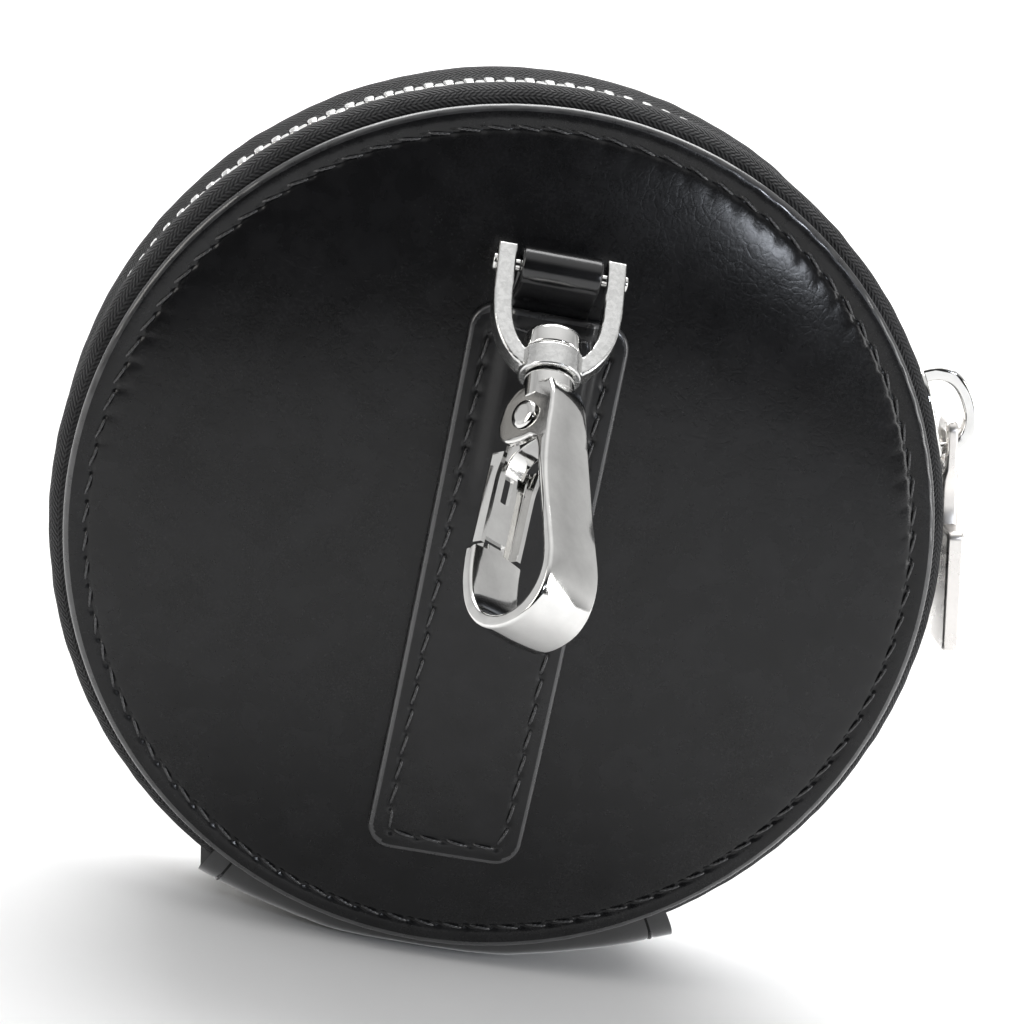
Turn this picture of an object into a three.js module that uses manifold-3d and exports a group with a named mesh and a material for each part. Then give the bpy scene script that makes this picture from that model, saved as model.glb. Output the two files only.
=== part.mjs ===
// Round zip coin purse with a strap patch, a hanging swivel clip and a hinged front half.
// Millimetres. +Z up, the front (patch side) faces -Y, X to the right. z = 0 is the flat under the base strip.
import * as THREE from "three";
import { mergeVertices } from "three/addons/utils/BufferGeometryUtils.js";
import Module from "manifold-3d";

const wasm = await Module();
wasm.setup();
const { Manifold, Mesh: SolidMesh } = wasm;

// ---- driving dimensions
const ZC = 52; // height of the disc's centre
const SEG = 48; // facets round the disc
const HALF_W = 12; // outer face of each rim from the middle
const LEATHER = 1.4;
const RIM_R = 50;
const SEAM_Y = 10.3; // outer face of the gusset's turned-in flange
const TAPE_T = 0.7;
const TAPE_END = 152; // degrees each way from the top
const TOOTH_PITCH = 2.6; // degrees
const TOOTH_W = 0.84;
const TOOTH_IN = 0.2; // how far a tooth passes the middle
const CHAIN_END = 147;
const BASE_END_X = 28.3;
const BASE_T = 1.3;
const PATCH_HALF = 9;
const PATCH_TOP = 27.9;
const PATCH_BOTTOM = -37.6;
const PATCH_T = 1.4;
const CLIP_X = -0.2;
const PIN_X = -0.9; // the loop hangs a little to the left of the patch's middle
const PIN = new THREE.Vector3(PIN_X, -19, ZC + 33);
const LEAN = THREE.MathUtils.degToRad(43); // the clip's lean away from the panel
const TWIST = THREE.MathUtils.degToRad(54); // the hook's turn in its swivel
const NECK = 13.8; // pin to the swivel's neck
const SLIDER_AT = THREE.MathUtils.degToRad(24.2); // above horizontal, on the right
const PULL_DIR = new THREE.Vector3(0.22, 0, -0.9755).normalize();

// ---- helpers
const V2 = (a, b) => new THREE.Vector2(a, b);

function solid(geometry, matrix) {
  let g = geometry.clone();
  g.deleteAttribute("normal");
  g.deleteAttribute("uv");
  if (matrix) g.applyMatrix4(matrix);
  g = mergeVertices(g, 1e-4);
  const idx = g.index.array;
  const keep = [];
  for (let i = 0; i < idx.length; i += 3) {
    const [a, b, c] = [idx[i], idx[i + 1], idx[i + 2]];
    if (a !== b && b !== c && a !== c) keep.push(a, b, c);
  }
  const make = (tris) =>
    new Manifold(
      new SolidMesh({
        numProp: 3,
        vertProperties: new Float32Array(g.attributes.position.array),
        triVerts: new Uint32Array(tris),
      }),
    );
  let m = make(keep);
  if (m.volume() < 0) {
    for (let i = 0; i < keep.length; i += 3)
      [keep[i + 1], keep[i + 2]] = [keep[i + 2], keep[i + 1]];
    m = make(keep);
  }
  return m;
}

const toCentre = new THREE.Matrix4().makeTranslation(0, 0, ZC);

// profile of [radius, y], turned about the disc's axis
const revolve = (profile, seg = SEG) =>
  solid(
    new THREE.LatheGeometry(
      profile.map(([r, y]) => V2(r, y)),
      seg,
    ),
    toCentre,
  );

// polygon of [x, z] drawn out along Y
function prismY(points, y0, y1) {
  const g = new THREE.ExtrudeGeometry(
    new THREE.Shape(points.map(([a, b]) => V2(a, b))),
    { depth: y1 - y0, bevelEnabled: false },
  );
  g.rotateX(Math.PI / 2);
  g.translate(0, y1, 0);
  return solid(g);
}

// polygon of [y, z] drawn out along X, with optional round holes [y, z, r]
function prismX(points, x0, x1, holes = []) {
  const shape = new THREE.Shape(points.map(([a, b]) => V2(a, b)));
  for (const [y, z, r] of holes) {
    const h = [];
    for (let i = 0; i < 16; i++) {
      const t = (-i / 16) * 2 * Math.PI;
      h.push(V2(y + r * Math.cos(t), z + r * Math.sin(t)));
    }
    shape.holes.push(new THREE.Path(h));
  }
  const g = new THREE.ExtrudeGeometry(shape, {
    depth: x1 - x0,
    bevelEnabled: false,
  });
  const m = new THREE.Matrix4().set(0, 0, 1, x0, 1, 0, 0, 0, 0, 1, 0, 0, 0, 0, 0, 1);
  return solid(g, m);
}

// polygon drawn out along the third axis of a frame, centred on it
function prismIn(frame, points, c0, c1) {
  const g = new THREE.ExtrudeGeometry(
    new THREE.Shape(points.map(([a, b]) => V2(a, b))),
    { depth: c1 - c0, bevelEnabled: false },
  );
  g.translate(0, 0, c0);
  return solid(g, frame);
}

// box given by its limits in a frame
function boxIn(frame, a0, a1, b0, b1, c0, c1) {
  const g = new THREE.BoxGeometry(a1 - a0, b1 - b0, c1 - c0);
  g.translate((a0 + a1) / 2, (b0 + b1) / 2, (c0 + c1) / 2);
  return solid(g, frame);
}

// profile of [radius, along] turned about one axis ("a", "b" or "c") of a frame through a point in it
function turnIn(frame, axis, at, profile, seg = 20) {
  const g = new THREE.LatheGeometry(
    profile.map(([r, h]) => V2(r, h)),
    seg,
  );
  if (axis === "a") g.rotateZ(-Math.PI / 2);
  if (axis === "c") g.rotateX(Math.PI / 2);
  g.translate(...at);
  return solid(g, frame);
}

// pie-shaped prism: degrees each way about a direction, measured from the top towards +X
function wedge(from, to, reach = 90) {
  const pts = [[0, ZC]];
  const n = Math.max(4, Math.ceil((to - from) / 12));
  for (let i = 0; i <= n; i++) {
    const t = THREE.MathUtils.degToRad(from + ((to - from) * i) / n);
    pts.push([reach * Math.sin(t), ZC + reach * Math.cos(t)]);
  }
  return prismY(pts, -30, 30);
}

const mirrored = (profile) => profile.map(([r, y]) => [r, -y]);

function roundedRect(x0, x1, z0, z1, r, n = 4) {
  const pts = [];
  for (const [cx, cz, a0] of [
    [x1 - r, z1 - r, 0],
    [x0 + r, z1 - r, 90],
    [x0 + r, z0 + r, 180],
    [x1 - r, z0 + r, 270],
  ])
    for (let i = 0; i <= n; i++) {
      const t = THREE.MathUtils.degToRad(a0 + (90 * i) / n);
      pts.push([cx + r * Math.cos(t), cz + r * Math.sin(t)]);
    }
  return pts;
}

const PAINT = {
  leather: [0x17171a, 0.28, 0],
  leather_matt: [0x222226, 0.55, 0],
  tape: [0x141416, 0.85, 0],
  lining: [0x2a2a2e, 0.8, 0],
  board: [0x8a7f70, 0.9, 0],
  thread: [0x0e0e10, 0.6, 0],
  chrome: [0xd8dade, 0.12, 1],
  steel: [0xb9bcc2, 0.3, 1],
};

const root = new THREE.Group();
root.name = "coin_purse";

function add(name, m, paint) {
  const out = m.getMesh();
  const g = new THREE.BufferGeometry();
  const pos = new Float32Array(out.numVert * 3);
  for (let i = 0; i < out.numVert; i++)
    for (let k = 0; k < 3; k++)
      pos[i * 3 + k] = out.vertProperties[i * out.numProp + k];
  g.setAttribute("position", new THREE.BufferAttribute(pos, 3));
  g.setIndex(new THREE.BufferAttribute(new Uint32Array(out.triVerts), 1));
  g.computeVertexNormals();
  const [color, roughness, metalness] = PAINT[paint];
  const mesh = new THREE.Mesh(
    g,
    new THREE.MeshStandardMaterial({ color, roughness, metalness }),
  );
  mesh.name = name;
  root.add(mesh);
}

// ---- the two round halves: leather skin, padding and board, lining
const DOME = [
  [0, 16],
  [12, 15.85],
  [24, 15.35],
  [34, 14.6],
  [42, 13.5],
  [46.8, 12.1],
];
const domeY = (r) => {
  for (let i = 1; i < DOME.length; i++)
    if (r <= DOME[i][0]) {
      const [r0, y0] = DOME[i - 1];
      const [r1, y1] = DOME[i];
      return y0 + ((y1 - y0) * (r - r0)) / (r1 - r0);
    }
  return HALF_W;
};
const skin = [
  ...DOME,
  [47.4, HALF_W],
  [49.5, HALF_W],
  [RIM_R, HALF_W - 0.4],
  [RIM_R, HALF_W - LEATHER],
  [46.6, HALF_W - LEATHER],
  [42, 13.5 - LEATHER],
  [34, 14.6 - LEATHER],
  [24, 15.35 - LEATHER],
  [12, 15.85 - LEATHER],
  [0, 16 - LEATHER],
];
const board = [
  [0, 16 - LEATHER - 0.3],
  [24, 15.35 - LEATHER - 0.3],
  [34, 14.6 - LEATHER - 0.3],
  [42, 13.5 - LEATHER - 0.3],
  [45.4, 10.95],
  [45.4, 10.6],
  [42.6, 10.6],
  [42.6, 9.6],
  [0, 9.6],
];
const lining = [
  [0, 9.3],
  [45.5, 9.3],
  [46, 9.1],
  [46, 8.5],
  [0, 8.5],
];
add("front_panel", revolve(mirrored(skin)), "leather");
add("back_panel", revolve(skin), "leather");
add("front_board", revolve(mirrored(board), 40), "board");
add("back_board", revolve(board, 40), "board");
add("front_lining", revolve(mirrored(lining), 40), "lining");
add("back_lining", revolve(lining, 40), "lining");

// ---- zip tapes: turned-in flange under the rim, then a lobe that dips to the chain
const tape = [
  [43.5, SEAM_Y],
  [49.9, SEAM_Y],
  [51.3, 9.2],
  [51.8, 7.4],
  [51.5, 5.4],
  [50.9, 3.6],
  [50.7, 2.6],
  [50.0, 2.6],
  [50.2, 3.8],
  [50.8, 5.5],
  [51.1, 7.2],
  [50.7, 8.7],
  [49.6, SEAM_Y - TAPE_T],
  [43.5, SEAM_Y - TAPE_T],
  [43.5, SEAM_Y],
];
const tapeArc = wedge(-TAPE_END, TAPE_END);
add("front_zip_tape", revolve(mirrored(tape)).intersect(tapeArc), "tape");
add("back_zip_tape", revolve(tape).intersect(tapeArc), "tape");

// ---- the zip's two rows of teeth, each a comb on its own cord
function teethRow(side, first) {
  const spine = [
    [50.0, 1.7],
    [51.2, 1.7],
    [51.2, 2.3],
    [50.0, 2.3],
    [50.0, 1.7],
  ].map(([r, y]) => [r, side * y]);
  const ring = revolve(spine, 48).intersect(wedge(-CHAIN_END, CHAIN_END));
  const teeth = [];
  for (let a = first; a <= CHAIN_END - 0.7; a += TOOTH_PITCH) {
    const length = 1.9 + TOOTH_IN;
    const g = new THREE.BoxGeometry(TOOTH_W, length, 1.1);
    g.translate(0, side * (1.9 - length / 2), 50.6);
    g.rotateY(THREE.MathUtils.degToRad(a));
    teeth.push(solid(g, toCentre));
  }
  return ring.add(Manifold.union(teeth));
}
add("front_teeth", teethRow(-1, -CHAIN_END + 1), "steel");
add("back_teeth", teethRow(1, -CHAIN_END + 1 + TOOTH_PITCH / 2), "steel");

const atTop = (deg) =>
  new THREE.Matrix4()
    .makeTranslation(0, 0, ZC)
    .multiply(
      new THREE.Matrix4().makeRotationY(THREE.MathUtils.degToRad(deg)),
    );
for (const [name, deg] of [
  ["zip_end_stop_right", 148.5],
  ["zip_end_stop_left", -148.5],
])
  add(name, boxIn(atTop(deg), -0.9, 0.9, -2.2, 2.2, 50.0, 51.3), "steel");

// ---- leather base strip, with its seam flanges
const BASE = [
  [BASE_END_X, 4.86],
  [24, 3.42],
  [19, 2.05],
  [14, 0.9],
  [9, 0],
];
const baseOuter = [...BASE, ...BASE.map(([x, z]) => [-x, z]).reverse()];
const offsetUp = (line, d) =>
  line.map(([x, z], i) => {
    const a = line[Math.max(0, i - 1)];
    const b = line[Math.min(line.length - 1, i + 1)];
    const len = Math.hypot(b[0] - a[0], b[1] - a[1]);
    return [x + ((b[1] - a[1]) / len) * d, z - ((b[0] - a[0]) / len) * d];
  });
const baseInner = offsetUp(baseOuter, BASE_T);
const band = prismY([...baseOuter, ...[...baseInner].reverse()], -10.2, 10.2);
const FLANGE_END = 27.2; // degrees each way from the bottom
const arc = (r, half, n = 10) =>
  Array.from({ length: n + 1 }, (_, i) => {
    const t = THREE.MathUtils.degToRad(-half + (2 * half * i) / n);
    return [r * Math.sin(t), ZC - r * Math.cos(t)];
  });
const bottomWedge = wedge(180 - FLANGE_END, 180 + FLANGE_END);
const wallTo = (r, y0, y1) =>
  prismY([...baseOuter, ...arc(r, 34)], y0, y1).intersect(bottomWedge);
add(
  "base_gusset",
  band.add(wallTo(43.5, 9.6, 10.2)).add(wallTo(50.3, -10.2, -9.6)),
  "leather",
);
add(
  "base_gusset_front",
  prismY([...arc(43.5, FLANGE_END), ...arc(49.9, FLANGE_END).reverse()], -10.3, -9.6),
  "leather_matt",
);
const liningLine = offsetUp(baseOuter, BASE_T + 0.3).filter(
  ([x]) => Math.abs(x) < 26,
);
add(
  "base_lining",
  prismY(
    [
      ...liningLine,
      ...offsetUp(baseOuter, BASE_T + 0.9)
        .filter(([x]) => Math.abs(x) < 26)
        .reverse(),
    ],
    -9.2,
    9.2,
  ),
  "lining",
);

// ---- seam threads round the rims
for (const [name, side] of [
  ["front_rim_thread", -1],
  ["back_rim_thread", 1],
]) {
  const g = new THREE.TorusGeometry(48.0, 0.2, 4, SEG);
  g.rotateX(Math.PI / 2);
  g.translate(0, side * (HALF_W + 0.25), ZC);
  add(name, solid(g), "thread");
}

// ---- strap patch, raised at its top where the loop's tail lies beneath it
const lift = (z) =>
  z >= 12 ? 2.1 : z <= 6 ? 0.4 : 0.4 + (1.7 * (z - 6)) / 6;
const patchZ = [PATCH_TOP, 24, 12, 6, 0, -12, -24, -34, PATCH_BOTTOM];
const patchLine = (extra) =>
  patchZ.map((z) => [-(domeY(Math.abs(z)) + lift(z) + extra), ZC + z]);
const patchShell = (a, b) =>
  prismX(
    [...patchLine(a), ...patchLine(b).reverse()],
    CLIP_X - PATCH_HALF,
    CLIP_X + PATCH_HALF,
  );
const px0 = CLIP_X - PATCH_HALF;
const px1 = CLIP_X + PATCH_HALF;
const plan = (inset, r) =>
  prismY(
    roundedRect(
      px0 + inset,
      px1 - inset,
      ZC + PATCH_BOTTOM + inset,
      ZC + PATCH_TOP - inset,
      r,
    ),
    -30,
    -5,
  );
add("strap_patch", patchShell(0, PATCH_T).intersect(plan(0, 3)), "leather");
add(
  "patch_thread",
  patchShell(PATCH_T + 0.05, PATCH_T + 0.4)
    .intersect(plan(2.0, 2))
    .subtract(plan(2.4, 1.7)),
  "thread",
);

// ---- leather loop round the pin, its tail under the patch
{
  const [py, pz] = [PIN.y, PIN.z];
  const d = (z) => -domeY(z);
  const ring = [];
  for (let a = -25; a <= 230; a += 17)
    ring.push([
      py + 2.3 * Math.cos(THREE.MathUtils.degToRad(a)),
      pz + 2.3 * Math.sin(THREE.MathUtils.degToRad(a)),
    ]);
  const pts = [
    [d(13) - 0.3, ZC + 13],
    [d(24) - 0.3, ZC + 24],
    [d(29) - 0.35, ZC + 29],
    ...ring,
    [d(28.9) - 1.75, ZC + 28.9],
    [d(24) - 1.8, ZC + 24],
    [d(13) - 1.8, ZC + 13],
  ];
  add(
    "hanger_loop",
    prismX(pts, PIN_X - 4.45, PIN_X + 4.45, [[py, pz, 1.0]]),
    "leather",
  );
}

// ---- the clip: shackle on its pin, swivel, hook, gate
const AX = new THREE.Vector3(1, 0, 0);
const AV = new THREE.Vector3(0, -Math.sin(LEAN), -Math.cos(LEAN)); // down the clip
const AM = new THREE.Vector3(0, -Math.cos(LEAN), Math.sin(LEAN)); // away from the panel
const shackleFrame = new THREE.Matrix4()
  .makeBasis(AX, AV, AM.clone().negate())
  .setPosition(PIN);
{
  const half = [
    [7.15, -2.0],
    [7.15, 5.4],
    [6.7, 8.2],
    [5.6, 10.7],
    [4.0, 12.7],
    [2.9, 13.5],
  ];
  const inner = [
    [2.6, 11.3],
    [3.6, 10.1],
    [4.6, 7.8],
    [5.05, 5.2],
    [5.05, -2.0],
  ];
  const flip = (l) => l.map(([u, v]) => [-u, v]).reverse();
  const u = prismIn(
    shackleFrame,
    [...half, ...flip(half), ...flip(inner), ...inner],
    -1.3,
    1.3,
  );
  const boss = turnIn(shackleFrame, "b", [0, 0, 0], [
    [0, 10.9],
    [3.3, 10.9],
    [3.45, 11.1],
    [3.45, 13.5],
    [3.3, 13.7],
    [0, 13.7],
  ]);
  const bore = turnIn(
    shackleFrame,
    "b",
    [0, 0, 0],
    [
      [0, 9],
      [1.85, 9],
      [1.85, 15],
      [0, 15],
    ],
    16,
  );
  const eyes = turnIn(
    shackleFrame,
    "a",
    [0, 0, 0],
    [
      [0, -9],
      [0.95, -9],
      [0.95, 9],
      [0, 9],
    ],
    16,
  );
  add("shackle", u.add(boss).subtract(bore).subtract(eyes), "chrome");
  add(
    "shackle_pin",
    turnIn(
      shackleFrame,
      "a",
      [0, 0, 0],
      [
        [0, -7.95],
        [0.9, -7.85],
        [1.2, -7.65],
        [1.2, -7.45],
        [0.7, -7.45],
        [0.7, 7.45],
        [1.2, 7.45],
        [1.2, 7.65],
        [0.9, 7.85],
        [0, 7.95],
      ],
      16,
    ),
    "chrome",
  );
}

const HN = AM.clone()
  .multiplyScalar(Math.cos(TWIST))
  .addScaledVector(AX, -Math.sin(TWIST)); // the hook plate's normal
const HU = AX.clone()
  .multiplyScalar(Math.cos(TWIST))
  .addScaledVector(AM, Math.sin(TWIST)); // across the hook
const hookFrame = new THREE.Matrix4()
  .makeBasis(HU, AV, HN.clone().negate())
  .setPosition(PIN.clone().addScaledVector(AV, NECK));
const PIVOT = [-0.1, 5.7];
{
  const outline = [
    [3.0, 1.8],
    [3.6, 4.5],
    [3.75, 8.3],
    [4.25, 12.5],
    [5.05, 17.0],
    [5.85, 20.8],
    [6.45, 24.0],
    [6.3, 26.5],
    [5.4, 28.7],
    [3.7, 30.3],
    [0.9, 31.0],
    [-1.8, 30.6],
    [-4.1, 29.1],
    [-5.6, 26.8],
    [-6.3, 24.0],
    [-6.35, 21.7],
    [-6.25, 19.9],
    [-4.85, 19.9],
    [-4.95, 21.8],
    [-4.85, 24.0],
    [-4.3, 26.2],
    [-3.1, 28.0],
    [-1.3, 29.2],
    [0.8, 29.55],
    [2.9, 28.9],
    [4.3, 27.5],
    [5.0, 25.9],
    [5.15, 24.0],
    [4.65, 20.8],
    [3.9, 17.2],
    [3.05, 13.0],
    [2.5, 9.8],
    [1.2, 8.6],
    [-2.2, 8.5],
    [-3.6, 7.6],
    [-4.1, 5.8],
    [-3.9, 4.0],
    [-3.2, 2.6],
    [-2.0, 1.8],
    [1.8, 1.5],
  ];
  const neck = turnIn(
    hookFrame,
    "b",
    [0, 0, 0],
    [
      [0, -3.9],
      [1.5, -3.9],
      [1.5, 0.15],
      [2.7, 0.15],
      [2.7, 3.0],
      [0, 3.0],
    ],
    16,
  );
  const hole = turnIn(
    hookFrame,
    "c",
    [...PIVOT, 0],
    [
      [0, -6],
      [1.25, -6],
      [1.25, 6],
      [0, 6],
    ],
    16,
  );
  const nose = boxIn(hookFrame, -6.05, -5.35, 18.6, 21, -1.2, 1.2);
  add(
    "hook_body",
    prismIn(hookFrame, outline, -3.5, 3.5)
      .add(neck)
      .add(nose)
      .subtract(boxIn(hookFrame, -5.5, 2.2, 3.2, 9, -2.4, 2.4))
      .subtract(hole),
    "chrome",
  );
  add(
    "swivel_cap",
    turnIn(
      shackleFrame,
      "b",
      [0, 0, 0],
      [
        [0, 8.0],
        [2.6, 8.1],
        [3.1, 8.5],
        [3.1, 10.6],
        [1.75, 10.6],
        [1.75, 9.6],
        [0, 9.6],
      ],
      20,
    ),
    "chrome",
  );
  add(
    "gate_rivet",
    turnIn(
      hookFrame,
      "c",
      [...PIVOT, 0],
      [
        [0, -4.1],
        [1.1, -4.0],
        [1.6, -3.8],
        [1.6, -3.6],
        [0.95, -3.6],
        [0.95, 3.6],
        [1.6, 3.6],
        [1.6, 3.8],
        [1.1, 4.0],
        [0, 4.1],
      ],
      16,
    ),
    "chrome",
  );
  const coil = new THREE.TorusGeometry(1.6, 0.3, 6, 16);
  coil.translate(...PIVOT, -1.6);
  add("gate_spring", solid(coil, hookFrame), "steel");

  const channel = [
    [-4.75, 9.1],
    [-6.35, 19.1],
    [-4.2, 19.4],
    [-2.9, 9.1],
  ];
  const inside = [
    [-3.97, 8],
    [-5.97, 20.5],
    [-3.5, 20.5],
    [-2.0, 8],
  ];
  const arm = [
    [-4.3, 6.9],
    [-5.0, 11.2],
    [-4.3, 11.2],
    [-3.2, 8.4],
    [-0.6, 7.6],
    [-0.9, 4.0],
    [-2.6, 4.6],
  ];
  const disc = turnIn(
    hookFrame,
    "c",
    [...PIVOT, 0],
    [
      [0, -0.9],
      [1.95, -0.9],
      [1.95, 2.0],
      [0, 2.0],
    ],
    20,
  );
  add(
    "gate_lever",
    prismIn(hookFrame, channel, -3.05, 3.05)
      .subtract(prismIn(hookFrame, inside, -2.45, 2.45))
      .add(prismIn(hookFrame, arm, -0.9, 2.0))
      .add(disc)
      .subtract(hole)
      .subtract(boxIn(hookFrame, -7.5, -4, 17.9, 20.5, -1.55, 1.55)),
    "chrome",
  );
}

// ---- zip slider on the chain, and its pull
const SR = new THREE.Vector3(Math.cos(SLIDER_AT), 0, Math.sin(SLIDER_AT));
const ST = new THREE.Vector3(Math.sin(SLIDER_AT), 0, -Math.cos(SLIDER_AT));
const SY = new THREE.Vector3(0, 1, 0);
const sliderFrame = new THREE.Matrix4()
  .makeBasis(ST, SY, SR)
  .setPosition(0, 0, ZC);
{
  const plate = [
    [5.6, -2.6],
    [5.6, 2.6],
    [4.4, 3.6],
    [-1.7, 3.9],
    [-4.8, 3.0],
    [-5.6, 1.8],
    [-5.6, -1.8],
    [-4.8, -3.0],
    [-1.7, -3.9],
    [4.4, -3.6],
  ];
  const archFrame = new THREE.Matrix4()
    .makeBasis(ST, SR, SY.clone().negate())
    .setPosition(0, 0, ZC);
  const arch = [
    [5.3, 52.4],
    [5.2, 55.3],
    [3.9, 57.2],
    [1.2, 58.0],
    [-1.2, 58.0],
    [-3.9, 57.0],
    [-5.1, 55.2],
    [-5.3, 52.4],
    [-4.1, 52.4],
    [-3.9, 54.8],
    [-3.1, 56.0],
    [-0.9, 56.8],
    [0.9, 56.8],
    [3.1, 56.1],
    [4.0, 54.9],
    [4.1, 52.4],
  ];
  add(
    "slider_body",
    prismIn(sliderFrame, plate, 51.55, 52.8).add(
      prismIn(archFrame, arch, -1.2, 1.2),
    ),
    "chrome",
  );
  add(
    "slider_inner_plate",
    prismIn(sliderFrame, plate, 48.0, 49.0),
    "steel",
  );
}
const PULL_AT = new THREE.Vector3(0, 0, ZC)
  .addScaledVector(SR, 54.9)
  .addScaledVector(ST, 2.3);
const PE3 = PULL_DIR.clone().cross(SY);
const pullFrame = new THREE.Matrix4()
  .makeBasis(PULL_DIR, SY, PE3)
  .setPosition(PULL_AT);
{
  const neck = [
    [-0.7, -2.3],
    [-0.3, -2.75],
    [12.0, -2.75],
    [12.0, 2.75],
    [-0.3, 2.75],
    [-0.7, 2.3],
  ];
  const tag = [
    [11.5, -5.6],
    [12.5, -6.7],
    [25.4, -6.7],
    [26.2, -5.9],
    [26.2, 5.9],
    [25.4, 6.7],
    [12.5, 6.7],
    [11.5, 5.6],
  ];
  const shrink = (l, k) =>
    l.map(([a, b]) => [18.85 + (a - 18.85) * k, b * k]);
  add(
    "pull_tag",
    prismIn(pullFrame, neck, -0.7, 0.7)
      .subtract(boxIn(pullFrame, 0.7, 4.6, -1.5, 1.5, -2, 2))
      .add(prismIn(pullFrame, tag, -0.6, 0.6))
      .add(prismIn(pullFrame, shrink(tag, 0.92), -1, 1)),
    "chrome",
  );
}

export default root;
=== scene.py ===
import math

import bmesh
import bpy
import numpy as np
from mathutils import Matrix, Vector


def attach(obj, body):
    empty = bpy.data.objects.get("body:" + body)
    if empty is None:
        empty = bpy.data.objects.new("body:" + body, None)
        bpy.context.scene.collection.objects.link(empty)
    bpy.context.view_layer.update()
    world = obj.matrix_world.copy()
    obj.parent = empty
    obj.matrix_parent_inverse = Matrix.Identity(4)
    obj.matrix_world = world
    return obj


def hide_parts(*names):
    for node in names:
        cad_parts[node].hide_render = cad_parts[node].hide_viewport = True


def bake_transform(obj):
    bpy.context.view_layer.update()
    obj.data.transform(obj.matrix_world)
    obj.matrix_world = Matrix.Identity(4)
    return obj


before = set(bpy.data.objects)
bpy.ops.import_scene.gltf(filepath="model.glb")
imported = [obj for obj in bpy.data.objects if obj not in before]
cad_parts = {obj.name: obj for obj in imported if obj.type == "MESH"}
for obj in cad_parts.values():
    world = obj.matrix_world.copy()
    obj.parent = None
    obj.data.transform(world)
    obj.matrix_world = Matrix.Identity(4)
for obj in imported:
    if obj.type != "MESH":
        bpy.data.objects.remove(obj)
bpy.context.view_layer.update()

MM = 0.001
ZC = 52.0
PI = math.pi
rad = math.radians

# ------------------------------------------------------------------ camera
CAM_C = np.array([-0.12194, -0.96118, 0.24751])
CAM_R = np.array([0.97769, -0.07335, 0.19681])
CAM_U = np.array([-0.17101, 0.26598, 0.94869])
cam_data = bpy.data.cameras.new("camera")
cam = bpy.data.objects.new("camera", cam_data)
bpy.context.scene.collection.objects.link(cam)
m = Matrix.Identity(4)
for i in range(3):
    m[i][0], m[i][1], m[i][2] = CAM_R[i], CAM_U[i], CAM_C[i]
    m[i][3] = CAM_C[i] * 0.350 + (0.052 if i == 2 else 0.0)
cam.matrix_world = m
cam_data.sensor_width = 36
cam_data.lens = 2964.0 / 1024 * 36
cam_data.shift_x = (512 - 495.8) / 1024
cam_data.shift_y = (514.6 - 512) / 1024
cam_data.clip_start = 0.01
cam_data.clip_end = 20
bpy.context.scene.camera = cam

# ------------------------------------------------------------------ materials


class Nodes:
    """Small helper round a material's node tree."""

    def __init__(self, name):
        self.mat = bpy.data.materials.new(name)
        self.mat.use_nodes = True
        self.t = self.mat.node_tree
        self.bsdf = self.t.nodes["Principled BSDF"]

    def add(self, kind, **props):
        n = self.t.nodes.new(kind)
        for k, v in props.items():
            if k in n.inputs:
                n.inputs[k].default_value = v
            else:
                setattr(n, k, v)
        return n

    def link(self, a, b):
        self.t.links.new(a, b)
        return b

    def set(self, **values):
        for k, v in values.items():
            self.bsdf.inputs[k.replace("_", " ")].default_value = v

    def coords(self):
        return self.add("ShaderNodeTexCoord").outputs["Object"]

    def attr(self, name):
        return self.add("ShaderNodeAttribute", attribute_name=name).outputs["Vector"]

    def math(self, op, a, b=None, c=None, clamp=False):
        n = self.t.nodes.new("ShaderNodeMath")
        n.operation = op
        n.use_clamp = clamp
        for i, x in enumerate((a, b, c)):
            if x is None:
                continue
            if isinstance(x, (int, float)):
                n.inputs[i].default_value = x
            else:
                self.link(x, n.inputs[i])
        return n.outputs[0]

    def noise(self, vec, scale, detail=3, rough=0.55, distortion=0.0):
        n = self.add("ShaderNodeTexNoise")
        n.inputs["Scale"].default_value = scale
        n.inputs["Detail"].default_value = detail
        n.inputs["Roughness"].default_value = rough
        n.inputs["Distortion"].default_value = distortion
        self.link(vec, n.inputs["Vector"])
        return n.outputs["Fac"]

    def voronoi(self, vec, scale, feature="F1", metric="EUCLIDEAN", randomness=1.0):
        n = self.add("ShaderNodeTexVoronoi", feature=feature)
        n.inputs["Scale"].default_value = scale
        n.inputs["Randomness"].default_value = randomness
        self.link(vec, n.inputs["Vector"])
        return n.outputs["Distance"]

    def ramp(self, fac, stops):
        n = self.add("ShaderNodeValToRGB")
        e = n.color_ramp.elements
        while len(e) < len(stops):
            e.new(0.5)
        for i, (p, c) in enumerate(stops):
            e[i].position = p
            e[i].color = (*c, 1) if len(c) == 3 else c
        self.link(fac, n.inputs["Fac"])
        return n.outputs["Color"]

    def remap(self, fac, a, b, c, d):
        n = self.add("ShaderNodeMapRange")
        for k, v in zip(("From Min", "From Max", "To Min", "To Max"), (a, b, c, d)):
            n.inputs[k].default_value = v
        self.link(fac, n.inputs["Value"])
        return n.outputs["Result"]

    def bump(self, height, distance, strength=1.0, normal=None):
        n = self.add("ShaderNodeBump")
        n.inputs["Distance"].default_value = distance
        n.inputs["Strength"].default_value = strength
        self.link(height, n.inputs["Height"])
        if normal is not None:
            self.link(normal, n.inputs["Normal"])
        return n.outputs["Normal"]

    def sep(self, vec):
        n = self.add("ShaderNodeSeparateXYZ")
        self.link(vec, n.inputs[0])
        return n.outputs

    def out(self, color=None, roughness=None, normal=None, metallic=None):
        for k, v in (
            ("Base Color", color),
            ("Roughness", roughness),
            ("Normal", normal),
            ("Metallic", metallic),
        ):
            if v is not None:
                self.link(v, self.bsdf.inputs[k])
        return self.mat


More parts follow.
